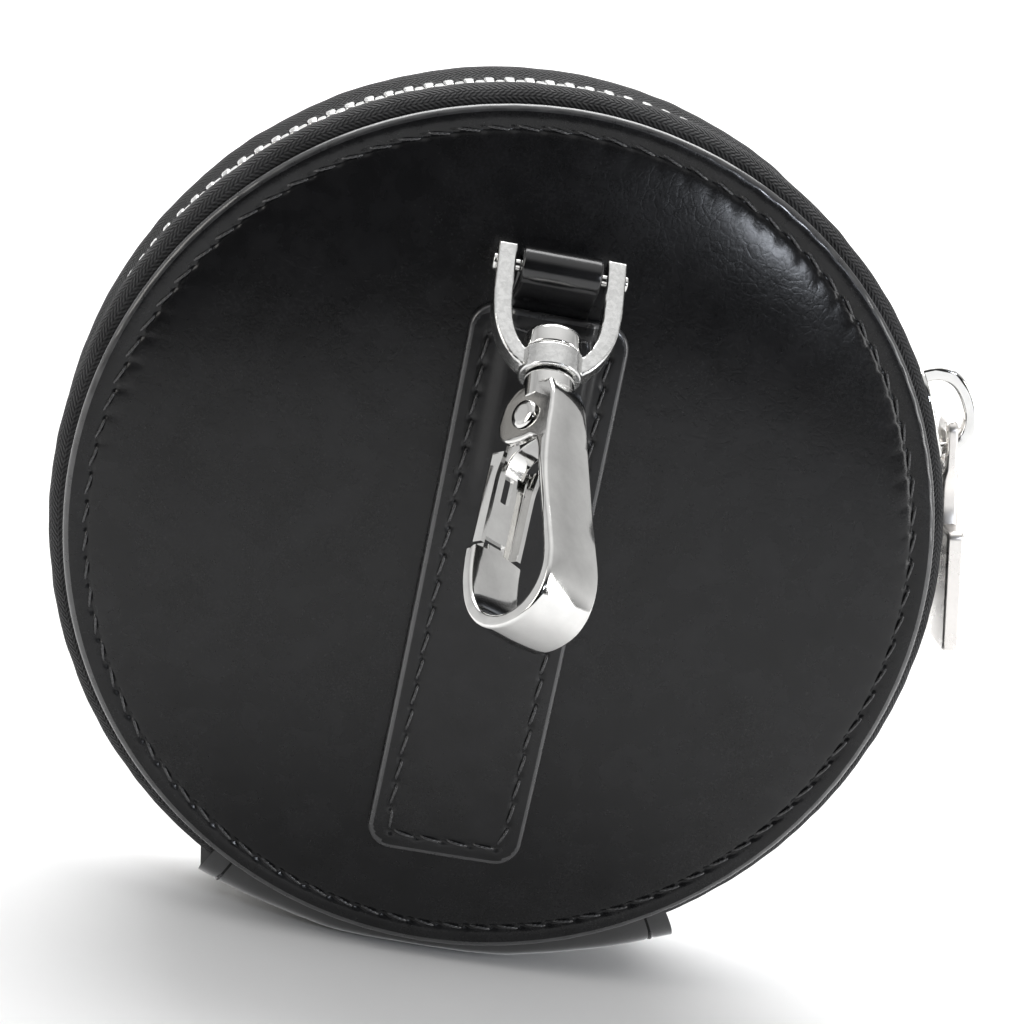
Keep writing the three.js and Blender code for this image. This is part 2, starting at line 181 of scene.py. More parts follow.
def leather(name, base=(0.0065, 0.0065, 0.007), rough=(0.20, 0.34), grain=1.0, coat=0.35, spec=0.42, sheen=0.0):
    n = Nodes(name)
    co = n.coords()
    big = n.noise(co, 55, 4, 0.6)
    fine = n.noise(co, 2600, 3, 0.6)
    pores = n.voronoi(co, 2100, "SMOOTH_F1")
    creases = n.voronoi(co, 900, "DISTANCE_TO_EDGE")
    wear = n.noise(co, 240, 5, 0.62, 0.3)
    color = n.ramp(wear, [(0.30, tuple(x * 0.75 for x in base)), (0.75, tuple(x * 1.7 for x in base))])
    r = n.math("ADD", n.remap(big, 0.3, 0.7, rough[0], rough[1]), n.remap(fine, 0.3, 0.7, -0.03, 0.05))
    edge = n.math("MULTIPLY", n.math("MINIMUM", creases, 0.12), 1.6)
    h = n.math("ADD", n.math("MULTIPLY", pores, 0.35), n.math("MULTIPLY", fine, 0.45))
    h = n.math("ADD", h, edge)
    b1 = n.bump(h, 0.000035 * grain, 0.55)
    b2 = n.bump(big, 0.0005, 0.22 * min(1.0, grain + 0.3), b1)
    n.set(Specular_IOR_Level=spec, Coat_Weight=coat, Coat_Roughness=0.16, IOR=1.5, Sheen_Weight=sheen, Sheen_Roughness=0.4)
    return n.out(color, r, b2)


def edge_paint_and_painted_highlight(name):
    n = Nodes(name)
    co = n.coords()
    a = n.noise(co, 500, 4, 0.6)
    b = n.noise(co, 3500, 2, 0.5)
    # edge paint coloured lighter than the leather as painted highlight along the cut edges
    color = n.ramp(a, [(0.3, (0.020, 0.020, 0.021)), (0.8, (0.040, 0.040, 0.042))])
    r = n.remap(a, 0.3, 0.7, 0.24, 0.36)
    n.set(Specular_IOR_Level=0.65, Coat_Weight=0.6, Coat_Roughness=0.08)
    return n.out(color, r, n.bump(n.math("ADD", a, n.math("MULTIPLY", b, 0.3)), 0.00012, 0.4))


def tape_weave(name):
    """Woven zip tape: ribs along the tape with a herringbone of threads, from the strip attribute in millimetres."""
    n = Nodes(name)
    st = n.attr("strip")
    s, t, _ = n.sep(st)
    lane = n.math("MODULO", n.math("ADD", t, 100.0), 2.1)
    vee = n.math("ABSOLUTE", n.math("SUBTRACT", lane, 1.05))
    phase = n.math("MULTIPLY", n.math("ADD", s, n.math("MULTIPLY", vee, 1.1)), 2 * PI / 0.66)
    rib = n.math("SINE", phase)
    rib01 = n.math("MULTIPLY", n.math("ADD", rib, 1.0), 0.5)
    warp = n.math("SINE", n.math("MULTIPLY", t, 2 * PI / 0.425))
    warp01 = n.math("MULTIPLY", n.math("ADD", warp, 1.0), 0.5)
    fuzz = n.noise(n.coords(), 4200, 3, 0.6)
    soil = n.noise(n.coords(), 160, 3, 0.6)
    h = n.math("ADD", n.math("MULTIPLY", rib01, 0.75), n.math("MULTIPLY", warp01, 0.35))
    h = n.math("ADD", h, n.math("MULTIPLY", fuzz, 0.6))
    # colour lighter on the rib crests as painted highlight, mixed with random fuzz and soil tone
    painted_rib_highlight_and_soil_tone = n.math("MULTIPLY", n.math("ADD", n.math("MULTIPLY", rib01, 0.55), n.math("MULTIPLY", fuzz, 0.85)), n.remap(soil, 0.3, 0.7, 0.75, 1.1))
    color = n.ramp(painted_rib_highlight_and_soil_tone, [(0.28, (0.0018, 0.0018, 0.002)), (0.95, (0.034, 0.034, 0.036))])
    n.set(Sheen_Weight=0.04, Sheen_Roughness=0.45, Specular_IOR_Level=0.22)
    return n.out(color, n.remap(fuzz, 0.3, 0.7, 0.55, 0.8), n.bump(h, 0.00020, 1.0))


def lining_cloth(name, base=(0.030, 0.030, 0.034)):
    n = Nodes(name)
    co = n.coords()
    x, y, z = n.sep(co)
    diag = n.math("SINE", n.math("MULTIPLY", n.math("ADD", n.math("ADD", x, n.math("MULTIPLY", y, 0.7)), z), 2 * PI / 0.0007))
    cross = n.math("SINE", n.math("MULTIPLY", n.math("SUBTRACT", x, z), 2 * PI / 0.00045))
    fuzz = n.noise(co, 3800, 3, 0.6)
    big = n.noise(co, 90, 3, 0.6)
    h = n.math("ADD", n.math("MULTIPLY", diag, 0.5), n.math("MULTIPLY", cross, 0.25))
    h = n.math("ADD", h, n.math("MULTIPLY", fuzz, 0.6))
    tone = n.math("MULTIPLY", n.remap(h, -0.6, 1.1, 0.5, 1.2), n.remap(big, 0.3, 0.7, 0.85, 1.1))
    color = n.ramp(tone, [(0.3, tuple(v * 0.45 for v in base)), (1.0, tuple(v * 1.7 for v in base))])
    n.set(Sheen_Weight=0.3, Sheen_Roughness=0.4, Specular_IOR_Level=0.3)
    return n.out(color, n.remap(fuzz, 0.3, 0.7, 0.6, 0.85), n.bump(h, 0.00008, 0.8))


def thread_mat(name):
    """Twisted thread: the twist follows the strip attribute (length in mm, turn in 0 to 1)."""
    n = Nodes(name)
    s, t, _ = n.sep(n.attr("strip"))
    ply = n.math("SINE", n.math("ADD", n.math("MULTIPLY", s, 2 * PI / 0.62), n.math("MULTIPLY", t, 4 * PI)))
    ply01 = n.math("MULTIPLY", n.math("ADD", ply, 1.0), 0.5)
    fuzz = n.noise(n.coords(), 6000, 2, 0.5)
    h = n.math("ADD", ply01, n.math("MULTIPLY", fuzz, 0.3))
    color = n.ramp(h, [(0.1, (0.004, 0.004, 0.0045)), (0.9, (0.022, 0.022, 0.024))])
    n.set(Specular_IOR_Level=0.6, Coat_Weight=0.6, Coat_Roughness=0.14)
    return n.out(color, n.remap(fuzz, 0.3, 0.7, 0.24, 0.38), n.bump(h, 0.00006, 0.7))


def metal(name, base=(0.78, 0.775, 0.76), rough=(0.05, 0.12), scratch=1.0, dark=0.85):
    n = Nodes(name)
    co = n.coords()
    hazy = n.noise(co, 320, 4, 0.6)
    tiny = n.noise(co, 5200, 2, 0.5)
    stretch = n.add("ShaderNodeMapping")
    stretch.inputs["Scale"].default_value = (9000, 700, 900)
    stretch.inputs["Rotation"].default_value = (0.5, 0.9, 0.3)
    n.link(co, stretch.inputs["Vector"])
    hair = n.noise(stretch.outputs["Vector"], 1.0, 3, 0.7)
    color = n.ramp(hazy, [(0.25, tuple(v * dark for v in base)), (0.7, base)])
    r = n.math("ADD", n.remap(hazy, 0.3, 0.75, rough[0], rough[1]), n.remap(hair, 0.55, 0.8, 0.0, 0.07 * scratch))
    h = n.math("ADD", n.math("MULTIPLY", hair, 0.5 * scratch), n.math("MULTIPLY", tiny, 0.25))
    n.set(Metallic=1.0)
    return n.out(color, r, n.bump(h, 0.000006, 0.25))


def cast_metal(name, base=(0.76, 0.76, 0.75)):
    """Plated casting with a faintly pitted, wavy face."""
    n = Nodes(name)
    co = n.coords()
    pits = n.noise(co, 1500, 3, 0.6, 0.4)
    dents = n.voronoi(co, 900, "SMOOTH_F1")
    haze = n.noise(co, 400, 3, 0.6)
    color = n.ramp(pits, [(0.35, tuple(v * 0.82 for v in base)), (0.62, base)])
    r = n.math("ADD", n.remap(haze, 0.3, 0.7, 0.08, 0.2), n.remap(pits, 0.6, 0.4, 0.0, 0.1))
    n.set(Metallic=1.0)
    h = n.math("ADD", pits, n.math("MULTIPLY", dents, 0.7))
    return n.out(color, r, n.bump(h, 0.00005, 0.6))


def board_mat(name):
    n = Nodes(name)
    co = n.coords()
    f = n.noise(co, 700, 5, 0.65)
    g = n.voronoi(co, 1500)
    color = n.ramp(f, [(0.3, (0.26, 0.22, 0.17)), (0.7, (0.42, 0.37, 0.30))])
    return n.out(color, n.remap(f, 0.3, 0.7, 0.75, 0.92), n.bump(n.math("ADD", f, g), 0.0002, 0.6))


M_SKIN = leather("leather_panel", rough=(0.17, 0.29), coat=0.14, spec=0.22)
M_PATCH = leather("leather_patch", base=(0.0065, 0.0065, 0.007), rough=(0.24, 0.38), grain=1.25, coat=0.15, spec=0.26)
M_STRAP = leather("leather_loop", base=(0.006, 0.006, 0.0065), rough=(0.16, 0.26), grain=0.6, coat=0.5)
# the base strip's leather is coloured lighter than the panels' leather as painted reflection of the pale surroundings
# at grazing angles
M_BASE = leather("leather_base", base=(0.017, 0.017, 0.0175), rough=(0.32, 0.46), grain=0.8, coat=0.4, spec=0.6, sheen=0.9)
# dark raw leather for the strip's cut ends, also used as painted shade along the stitch lines across the strip
M_RAW_END_AND_SEAM_SHADE = leather("leather_raw_end_and_painted_seam_shade", base=(0.010, 0.010, 0.010), rough=(0.72, 0.9), grain=2.0, coat=0.0, spec=0.2)
M_EDGE = edge_paint_and_painted_highlight("edge_paint_and_painted_highlight")
M_TAPE = tape_weave("zip_tape_weave")
M_LINING = lining_cloth("lining_twill")
M_THREAD = thread_mat("bonded_thread")
M_CHROME = metal("clip_chrome")
M_CAST = cast_metal("shackle_casting")
M_NICKEL = metal("teeth_nickel", base=(0.70, 0.70, 0.69), rough=(0.12, 0.24), scratch=0.6)
M_STEEL = metal("spring_steel", base=(0.55, 0.55, 0.56), rough=(0.2, 0.32), scratch=0.5)
M_PULL = metal("pull_nickel", base=(0.88, 0.85, 0.82), rough=(0.24, 0.36), scratch=1.2)
M_BAIL = metal("bail_nickel", base=(0.62, 0.585, 0.55), rough=(0.14, 0.24), scratch=1.0)
M_BOARD = board_mat("board_felt")

# ------------------------------------------------------------------ mesh helpers


def grid_faces(nu, nv, wrap_u=False, wrap_v=False, base=0):
    iu = np.arange(nu if wrap_u else nu - 1)
    iv = np.arange(nv if wrap_v else nv - 1)
    U, V = np.meshgrid(iu, iv, indexing="ij")
    U2, V2 = (U + 1) % nu, (V + 1) % nv
    f = np.stack([U * nv + V, U2 * nv + V, U2 * nv + V2, U * nv + V2], -1).reshape(-1, 4)
    return (f + base).tolist()


def outward(bm):
    bmesh.ops.recalc_face_normals(bm, faces=bm.faces)
    if bm.calc_volume(signed=True) < 0:
        bmesh.ops.reverse_faces(bm, faces=bm.faces)


def build(name, verts, faces, mat, strip=None, smooth=True, sharp=None, mats=None, face_mats=None):
    """A mesh object from millimetre coordinates."""
    me = bpy.data.meshes.new(name)
    me.from_pydata((np.asarray(verts, float) * MM).tolist(), [], faces)
    if strip is not None:
        a = me.attributes.new("strip", "FLOAT_VECTOR", "POINT")
        s = np.zeros((len(verts), 3), np.float32)
        s[:, : np.asarray(strip).shape[1]] = strip
        a.data.foreach_set("vector", s.ravel())
    for x in mats or [mat]:
        me.materials.append(x)
    if face_mats is not None:
        me.polygons.foreach_set("material_index", np.asarray(face_mats, np.int32))
    bm = bmesh.new()
    bm.from_mesh(me)
    outward(bm)
    bm.to_mesh(me)
    bm.free()
    me.polygons.foreach_set("use_smooth", [smooth] * len(me.polygons))
    if sharp is not None:
        me.set_sharp_from_angle(angle=rad(sharp))
    me.update()
    o = bpy.data.objects.new(name, me)
    bpy.context.scene.collection.objects.link(o)
    return o


def join(name, objs):
    """Several objects into one, keeping materials and attributes."""
    bpy.ops.object.select_all(action="DESELECT")
    for o in objs:
        o.select_set(True)
    bpy.context.view_layer.objects.active = objs[0]
    bpy.ops.object.join()
    objs[0].name = name
    objs[0].data.name = name
    return objs[0]


def apply_modifiers(o):
    dg = bpy.context.evaluated_depsgraph_get()
    me = bpy.data.meshes.new_from_object(o.evaluated_get(dg), depsgraph=dg)
    o.modifiers.clear()
    old = o.data
    o.data = me
    bpy.data.meshes.remove(old)
    return o


def cut(o, other, how="DIFFERENCE"):
    b = o.modifiers.new("b", "BOOLEAN")
    b.operation = how
    b.object = other
    b.solver = "MANIFOLD"
    apply_modifiers(o)
    bpy.data.objects.remove(other)
    return o


def weighted(o, angle=40):
    o.data.polygons.foreach_set("use_smooth", [True] * len(o.data.polygons))
    o.data.set_sharp_from_angle(angle=rad(angle))
    w = o.modifiers.new("w", "WEIGHTED_NORMAL")
    w.keep_sharp = True
    w.weight = 60
    return o


def noise1(x, seed, octaves=3):
    """Smooth periodic noise of an angle, in about -1 to 1, from fixed sines."""
    g = np.random.default_rng(int(abs(seed) * 10) + 1)
    out = np.zeros_like(x)
    for k in range(octaves):
        for _ in range(4):
            f = g.integers(2 + 4 * k, 6 + 7 * k)
            out += np.sin(f * x + g.uniform(0, 2 * PI)) * g.uniform(0.3, 1.0) / (1 + k)
    return out / 4.0


def catmull(points, per):
    """A smooth open line through points, per steps between each pair."""
    p = np.asarray(points, float)
    q = np.vstack([2 * p[0] - p[1], p, 2 * p[-1] - p[-2]])
    out = []
    for i in range(1, len(q) - 2):
        a, b, c, d = q[i - 1], q[i], q[i + 1], q[i + 2]
        for k in range(per):
            t = k / per
            out.append(0.5 * (2 * b + (c - a) * t + (2 * a - 5 * b + 4 * c - d) * t * t + (3 * b - a - 3 * c + d) * t ** 3))
    out.append(p[-1])
    return np.array(out)


def resample(line, n, closed=False):
    p = np.asarray(line, float)
    if closed:
        p = np.vstack([p, p[:1]])
    d = np.concatenate([[0], np.cumsum(np.linalg.norm(np.diff(p, axis=0), axis=1))])
    s = np.linspace(0, d[-1], n, endpoint=not closed)
    return np.stack([np.interp(s, d, p[:, k]) for k in range(p.shape[1])], -1)


def offset_loop(loop, d):
    """Moves a closed plane loop inwards (for anticlockwise loops) by d."""
    p = np.asarray(loop, float)
    a = np.roll(p, 1, 0)
    b = np.roll(p, -1, 0)
    e1 = p - a
    e2 = b - p
    e1 /= np.linalg.norm(e1, axis=1)[:, None] + 1e-12
    e2 /= np.linalg.norm(e2, axis=1)[:, None] + 1e-12
    n1 = np.stack([-e1[:, 1], e1[:, 0]], -1)
    n2 = np.stack([-e2[:, 1], e2[:, 0]], -1)
    n = n1 + n2
    n /= np.linalg.norm(n, axis=1)[:, None] + 1e-12
    c = np.clip((n * n1).sum(1), 0.5, 1)
    return p + n * (d / c)[:, None]


def area2(loop):
    x, y = np.asarray(loop, float).T
    return (x * np.roll(y, -1) - np.roll(x, -1) * y).sum() / 2


def in_frame(points, frame_m):
    o, a, b, c = frame_m
    p = np.asarray(points, float)
    return o + p[:, :1] * a + p[:, 1:2] * b + p[:, 2:3] * c


def plate(name, loops, c0, c1, bevel, frame_m, mat, seg=3, warp=None, sharp=40, crown=0.0):
    """A flat plate with rounded rims from an outline and any holes, set in a frame. c is its thickness direction."""
    verts, faces, rims = [], [], []
    for li, loop in enumerate(loops):
        p = np.asarray(loop, float)
        if (area2(p) > 0) != (li == 0):
            p = p[::-1]
        low = [(c0 + bevel * (1 - math.sin(t)), bevel * (1 - math.cos(t))) for t in np.linspace(PI / 2, 0, seg + 1)]
        high = [(c1 - bevel * (1 - math.sin(t)), bevel * (1 - math.cos(t))) for t in np.linspace(0, PI / 2, seg + 1)]
        mid, half = (c0 + c1) / 2, (c1 - c0) / 2 - bevel
        middle = [(mid + x * half, -crown * (1 - x * x)) for x in np.linspace(-1, 1, 9)[1:-1]] if crown else []
        stack = low + middle + high
        start = len(verts)
        for c, ins in stack:
            q = offset_loop(p, ins)
            verts.extend(np.column_stack([q, np.full(len(q), c)]).tolist())
        n = len(p)
        faces.extend(grid_faces(len(stack), n, False, True, start))
        rims.append((start, start + (len(stack) - 1) * n, n))
    me = bpy.data.meshes.new(name)
    me.from_pydata(verts, [], faces)
    bm = bmesh.new()
    bm.from_mesh(me)
    bm.verts.ensure_lookup_table()
    for which in (0, 1):
        edges = []
        for start_low, start_high, n in rims:
            s = (start_low, start_high)[which]
            for i in range(n):
                e = bm.edges.get((bm.verts[s + i], bm.verts[s + (i + 1) % n]))
                edges.append(e)
        if len(rims) == 1:
            s, n = (rims[0][which], rims[0][2])
            cap = bm.faces.new([bm.verts[s + i] for i in range(n)])
            cap.normal_update()
            bmesh.ops.triangulate(bm, faces=[cap], ngon_method="EAR_CLIP")
        else:
            bmesh.ops.triangle_fill(bm, edges=edges, use_beauty=True)
        bm.verts.ensure_lookup_table()
    if warp is not None:
        for v in bm.verts:
            v.co = Vector(warp(*v.co))
    o_, a_, b_, c_ = frame_m
    for v in bm.verts:
        p = (o_ + v.co[0] * a_ + v.co[1] * b_ + v.co[2] * c_) * MM
        v.co = Vector(p)
    outward(bm)
    bm.to_mesh(me)
    bm.free()
    me.materials.append(mat)
    o = bpy.data.objects.new(name, me)
    bpy.context.scene.collection.objects.link(o)
    me.polygons.foreach_set("use_smooth", [True] * len(me.polygons))
    me.set_sharp_from_angle(angle=rad(sharp))
    return o


def turned(name, profile, seg, frame_m, axis, mat, sharp=40, close=False):
    """A turned piece: profile of (radius, height) about a frame's axis through a local point at its origin."""
    p = np.asarray(profile, float)
    o_, a_, b_, c_ = frame_m
    ax = {"a": (b_, c_, a_), "b": (c_, a_, b_), "c": (a_, b_, c_)}[axis]
    t = np.linspace(0, 2 * PI, seg, endpoint=False)
    on = [i for i in range(len(p)) if p[i, 0] < 1e-6]
    verts = []
    faces = []
    index = {}
    for i, (r, h) in enumerate(p):
        if r < 1e-6:
            index[i] = [len(verts)]
            verts.append(o_ + h * ax[2])
        else:
            index[i] = list(range(len(verts), len(verts) + seg))
            for x in t:
                verts.append(o_ + r * math.cos(x) * ax[0] + r * math.sin(x) * ax[1] + h * ax[2])
    pairs = [(i, i + 1) for i in range(len(p) - 1)] + ([(len(p) - 1, 0)] if close else [])
    for i, j in pairs:
        A, B = index[i], index[j]
        for k in range(seg):
            k2 = (k + 1) % seg
            if len(A) == 1 and len(B) == 1:
                continue
            if len(A) == 1:
                faces.append([A[0], B[k], B[k2]])
            elif len(B) == 1:
                faces.append([A[k], B[0], A[k2]])
            else:
                faces.append([A[k], B[k], B[k2], A[k2]])
    return build(name, np.array(verts), faces, mat, sharp=sharp)


def rounded_profile(points, r, steps=4):
    """Rounds the inner corners of an open (radius, height) profile."""
    p = np.asarray(points, float)
    out = [p[0]]
    for i in range(1, len(p) - 1):
        a, b, c = p[i - 1], p[i], p[i + 1]
        la, lc = np.linalg.norm(a - b), np.linalg.norm(c - b)
        d = min(r, la * 0.45, lc * 0.45)
        s, e = b + (a - b) / la * d, b + (c - b) / lc * d
        for k in range(steps + 1):
            t = k / steps
            out.append((1 - t) ** 2 * s + 2 * t * (1 - t) * b + t * t * e)
    out.append(p[-1])
    return np.array(out)


def round_loop(points, r, steps=5):
    """Rounds every corner of a closed plane loop; r is one radius or one for each corner."""
    p = np.asarray(points, float)
    n = len(p)
    rs = [r] * n if np.isscalar(r) else r
    out = []
    for i in range(n):
        a, b, c = p[i - 1], p[i], p[(i + 1) % n]
        la, lc = np.linalg.norm(a - b), np.linalg.norm(c - b)
        d = min(rs[i], la * 0.48, lc * 0.48)
        if d < 1e-4:
            out.append(b)
            continue
        s, e = b + (a - b) / la * d, b + (c - b) / lc * d
        for k in range(steps + 1):
            t = k / steps
            out.append((1 - t) ** 2 * s + 2 * t * (1 - t) * b + t * t * e)
    return np.array(out)


def densify(loop, step):
    """Adds points along the straight stretches of a closed loop."""
    p = np.asarray(loop, float)
    out = []
    for i in range(len(p)):
        a, b = p[i], p[(i + 1) % len(p)]
        k = max(1, int(math.ceil(np.linalg.norm(b - a) / step)))
        for j in range(k):
            out.append(a + (b - a) * j / k)
    return np.array(out)


def sstep(x, a, b):
    t = np.clip((x - a) / (b - a), 0, 1)
    return t * t * (3 - 2 * t)


def polar(a, r, y):
    """Row-frame millimetres from the angle from the top (towards +X), radius and y."""
    a, r, y = np.broadcast_arrays(a, r, y)
    return np.stack([r * np.sin(a), y, ZC + r * np.cos(a)], -1)


# ------------------------------------------------------------------ the two padded leather panels
N_STITCH = 90
STITCH_R = 47.5
CLIP_X = -0.2


def dome(r):
    q = np.clip(1 - (np.clip(r, 0, 47.2) / 47.2) ** 2.6, 0, 1)
    return 12 + 4 * q ** 0.8


def panel(name, side, seed, node):
    """side is -1 for the front. The skin's rim, stitch groove and edge are in one closed mesh."""
    n_out, n_in = 1440, 180
    k = n_out // n_in
    r_in = np.concatenate([[0], np.linspace(1.5, 42, 28)])
    r_mid = np.array([43.4, 44.4, 45.2, 45.7, 46.1, 46.45, 46.75, 46.95, 47.1, 47.25, 47.4, 47.55, 47.7, 47.9, 48.2, 48.6, 49.0, 49.3])
    a_in = np.arange(n_in) * 2 * PI / n_in
    a_out = np.arange(n_out) * 2 * PI / n_out
    verts, faces, fm = [], [], []

    def wav(a, r):
        w = 0.10 * np.sin(3 * a + seed) * (r / 40) ** 2 + 0.06 * np.sin(7 * a + 2 * seed) * (r / 44) ** 3
        return w * (r < 46.9)

    def out_y(a, r):
        base = np.where(r < 47.2, dome(r), 12.0)
        base = base + wav(a, r) * np.clip((47.0 - r) / 8, 0, 1)
        ph = N_STITCH * a / (2 * PI) - 0.5
        arc = (ph - np.round(ph)) * 2 * PI / N_STITCH * r + 0.4 * (r - 47.4)
        base = base - 0.09 * np.exp(-(((r - 47.45) / 0.45) ** 2))
        base = base - 0.15 * np.exp(-(((r - 47.32) / 0.32) ** 2) - (arc / 0.36) ** 2)
        base = base - 0.05 * np.exp(-(((r - 46.45) / 0.70) ** 2) - (arc / 0.62) ** 2)
        base = base + 0.05 * np.exp(-(((r - 47.95) / 0.30) ** 2) - (arc / 0.50) ** 2)
        base = base + 0.10 * np.exp(-(((r - 48.6) / 0.6) ** 2))
        return base

    verts.append(polar(0.0, 0.0, side * out_y(np.array(0.0), np.array(0.0))))
    for r in r_in[1:]:
        verts.extend(polar(a_in, r, side * out_y(a_in, np.full_like(a_in, r))))
    in0 = 1
    for j in range(n_in):
        faces.append([0, in0 + j, in0 + (j + 1) % n_in])
        fm.append(0)
    nr = len(r_in) - 1
    faces_g = grid_faces(nr, n_in, False, True, in0)
    faces += faces_g
    fm += [0] * len(faces_g)
    last_in = in0 + (nr - 1) * n_in
    start = len(verts)
    rings = [(r, None) for r in r_mid]
    rim = [(49.55, 11.93), (49.75, 11.80), (49.90, 11.62), (49.98, 11.38), (50.0, 11.12), (49.95, 10.88), (49.80, 10.70), (49.5, 10.60), (48.0, 10.60), (46.0, 10.60)]
    rings += rim
    for r, y in rings:
        if y is None:
            yy = out_y(a_out, np.full_like(a_out, r))
            rr = np.full_like(a_out, r)
        else:
            yy = np.full_like(a_out, y) + (0.03 * np.cos(N_STITCH * a_out) if y > 11.5 else 0)
            rr = np.full_like(a_out, r) + 0.02 * noise1(a_out, seed)
        verts.extend(polar(a_out, rr, side * yy))
    for j in range(n_in):
        A = last_in + j
        B = last_in + (j + 1) % n_in
        o = [start + (j * k + q) % n_out for q in range(k + 1)]
        faces.append([A, B] + o[::-1])
        fm.append(0)
    g = grid_faces(len(rings), n_out, False, True, start)
    faces += g
    for i in range(len(rings) - 1):
        fm += [1 if len(r_mid) <= i + 1 <= len(r_mid) + 7 else 0] * n_out
    # inner face, coarser
    last = start + (len(rings) - 1) * n_out
    inn = len(verts)
    r_back = [44.5, 40, 34, 26, 18, 9]
    for r in r_back:
        verts.extend(polar(a_in, r, np.full_like(a_in, side * (min(dome(r) - 1.35, dome(r) - 1.35) if r < 44 else 10.9))))
    for j in range(n_in):
        A = inn + j
        B = inn + (j + 1) % n_in
        o = [last + (j * k + q) % n_out for q in range(k + 1)]
        faces.append([A, B] + o[::-1])
        fm.append(0)
    g = grid_faces(len(r_back), n_in, False, True, inn)
    faces += g
    fm += [0] * len(g)
    centre = len(verts)
    verts.append(polar(0.0, 0.0, side * (16 - 1.35)))
    lastb = inn + (len(r_back) - 1) * n_in
    for j in range(n_in):
        faces.append([centre, lastb + j, lastb + (j + 1) % n_in])
        fm.append(0)
    o = build(name, np.array(verts).reshape(-1, 3), faces, M_SKIN, mats=[M_SKIN, M_EDGE], face_mats=fm)
    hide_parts(node)
    return o


front_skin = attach(panel("front_skin", -1, 1.3, "front_panel"), "front_half")
back_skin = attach(panel("back_skin", 1, 4.1, "back_panel"), "back_half")


# ------------------------------------------------------------------ stitches
def stitches(name, points, normals, node, mat=None, radius=0.18, slant=0.30, sides=8, steps=12):
    """Lock stitches between successive hole points on a surface, each a little aslant, with its ends pulled into the holes."""
    P, N = np.asarray(points, float), np.asarray(normals, float)
    verts, faces, strip = [], [], []
    total = 0.0
    for i in range(len(P) - 1):
        a, b = P[i], P[i + 1]
        na, nb = N[i], N[i + 1]
        along = b - a
        L = np.linalg.norm(along)
        along /= L
        base = len(verts)
        for k in range(steps + 1):
            t = k / steps
            nn = na * (1 - t) + nb * t
            nn /= np.linalg.norm(nn)
            side = np.cross(nn, along)
            lift = -0.36 + 0.46 * (1 - abs(2 * t - 1) ** 3.0)
            c = a + (b - a) * (0.05 + 0.90 * t) + side * slant * (1 - 2 * t) + nn * lift
            rr = radius * (0.72 + 0.28 * (1 - abs(2 * t - 1) ** 4))
            if k in (0, steps):
                rr *= 0.6
            for s in range(sides):
                w = 2 * PI * s / sides
                verts.append(c + rr * (math.cos(w) * side + math.sin(w) * nn))
                strip.append((total + L * t, s / sides))
        faces += grid_faces(steps + 1, sides, False, True, base)
        faces.append([base + s for s in range(sides)][::-1])
        faces.append([base + steps * sides + s for s in range(sides)])
        total += L
    o = build(name, np.array(verts), faces, mat or M_THREAD, strip=np.array(strip), smooth=True)
    if node:
        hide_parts(node)
    return o


for nm, side, body, node in (("front_stitching", -1, "front_half", "front_rim_thread"), ("back_stitching", 1, "back_half", "back_rim_thread")):
    a = (np.arange(N_STITCH + 1) + 0.5) * 2 * PI / N_STITCH
    pts = polar(a, STITCH_R - 0.05, side * 11.92)
    nrm = np.tile([0.0, float(side), 0.0], (len(a), 1))
    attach(stitches(nm, pts, nrm, node), body)

# ------------------------------------------------------------------ zip tapes
TAPE_HALF = rad(151.9)


def tape(name, side, node, seed):
    """Woven tape: flange under the rim, a lobe, and a corded edge held in the teeth."""
    outer = catmull([(43.6, 10.25), (46.5, 10.25), (49.2, 10.25), (50.2, 10.12), (51.0, 9.55), (51.6, 8.6), (51.82, 7.4), (51.7, 6.0), (51.3, 4.7), (50.95, 3.6), (50.9, 2.9), (51.05, 2.4), (51.15, 1.9), (51.0, 1.45)], 5)
    inner = catmull([(50.3, 1.35), (50.05, 1.9), (50.1, 2.6), (50.3, 3.5), (50.6, 4.7), (51.0, 6.0), (51.1, 7.3), (50.85, 8.4), (50.3, 9.2), (49.6, 9.58), (46.5, 9.62), (43.6, 9.62)], 4)
    prof = np.vstack([outer, inner])
    n = 900
    a = np.linspace(-TAPE_HALF, TAPE_HALF, n)
    d = np.concatenate([[0], np.cumsum(np.linalg.norm(np.diff(prof, axis=0), axis=1))])
    R = np.tile(prof[:, 0], (n, 1))
    Y = np.tile(prof[:, 1], (n, 1))
    A = a[:, None]
    lobe = np.clip((R - 50.2) / 1.4, 0, 1) * np.exp(-(((Y - 7.2) / 2.6) ** 2))
    # gathers from the rim seam, and a little unevenness along the lobe
    R = R + lobe * (0.10 * noise1(A * 5 + seed, int(seed * 7) + 3) + 0.015 * np.sin(N_STITCH * A + 0.7))
    R = R + np.exp(-(((Y - 9.6) / 0.8) ** 2)) * (R > 50.0) * 0.03 * np.sin(N_STITCH * A)
    Y = Y + lobe * 0.12 * noise1(A * 3, int(seed * 5) + 9)
    # the ends tuck in under the base strip
    tuck = sstep(np.abs(A), rad(150.9), rad(151.9))
    R = R - tuck * np.clip(R - 50.0, 0, 2) * 0.55
    V = polar(np.broadcast_to(A, R.shape), R, side * Y).reshape(-1, 3)
    S = np.stack([np.broadcast_to(A * 51, R.shape).ravel(), np.broadcast_to(d, R.shape).ravel()], -1)
    m_ = len(prof)
    faces = grid_faces(n, m_, False, True)
    faces.append(list(range(m_)))
    faces.append([(n - 1) * m_ + i for i in range(m_)][::-1])
    o = build(name, V, faces, M_TAPE, strip=S)
    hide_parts(node)
    return o


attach(tape("front_tape", -1, "front_zip_tape", 0.6), "front_half")
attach(tape("back_tape", 1, "back_zip_tape", 2.2), "back_half")


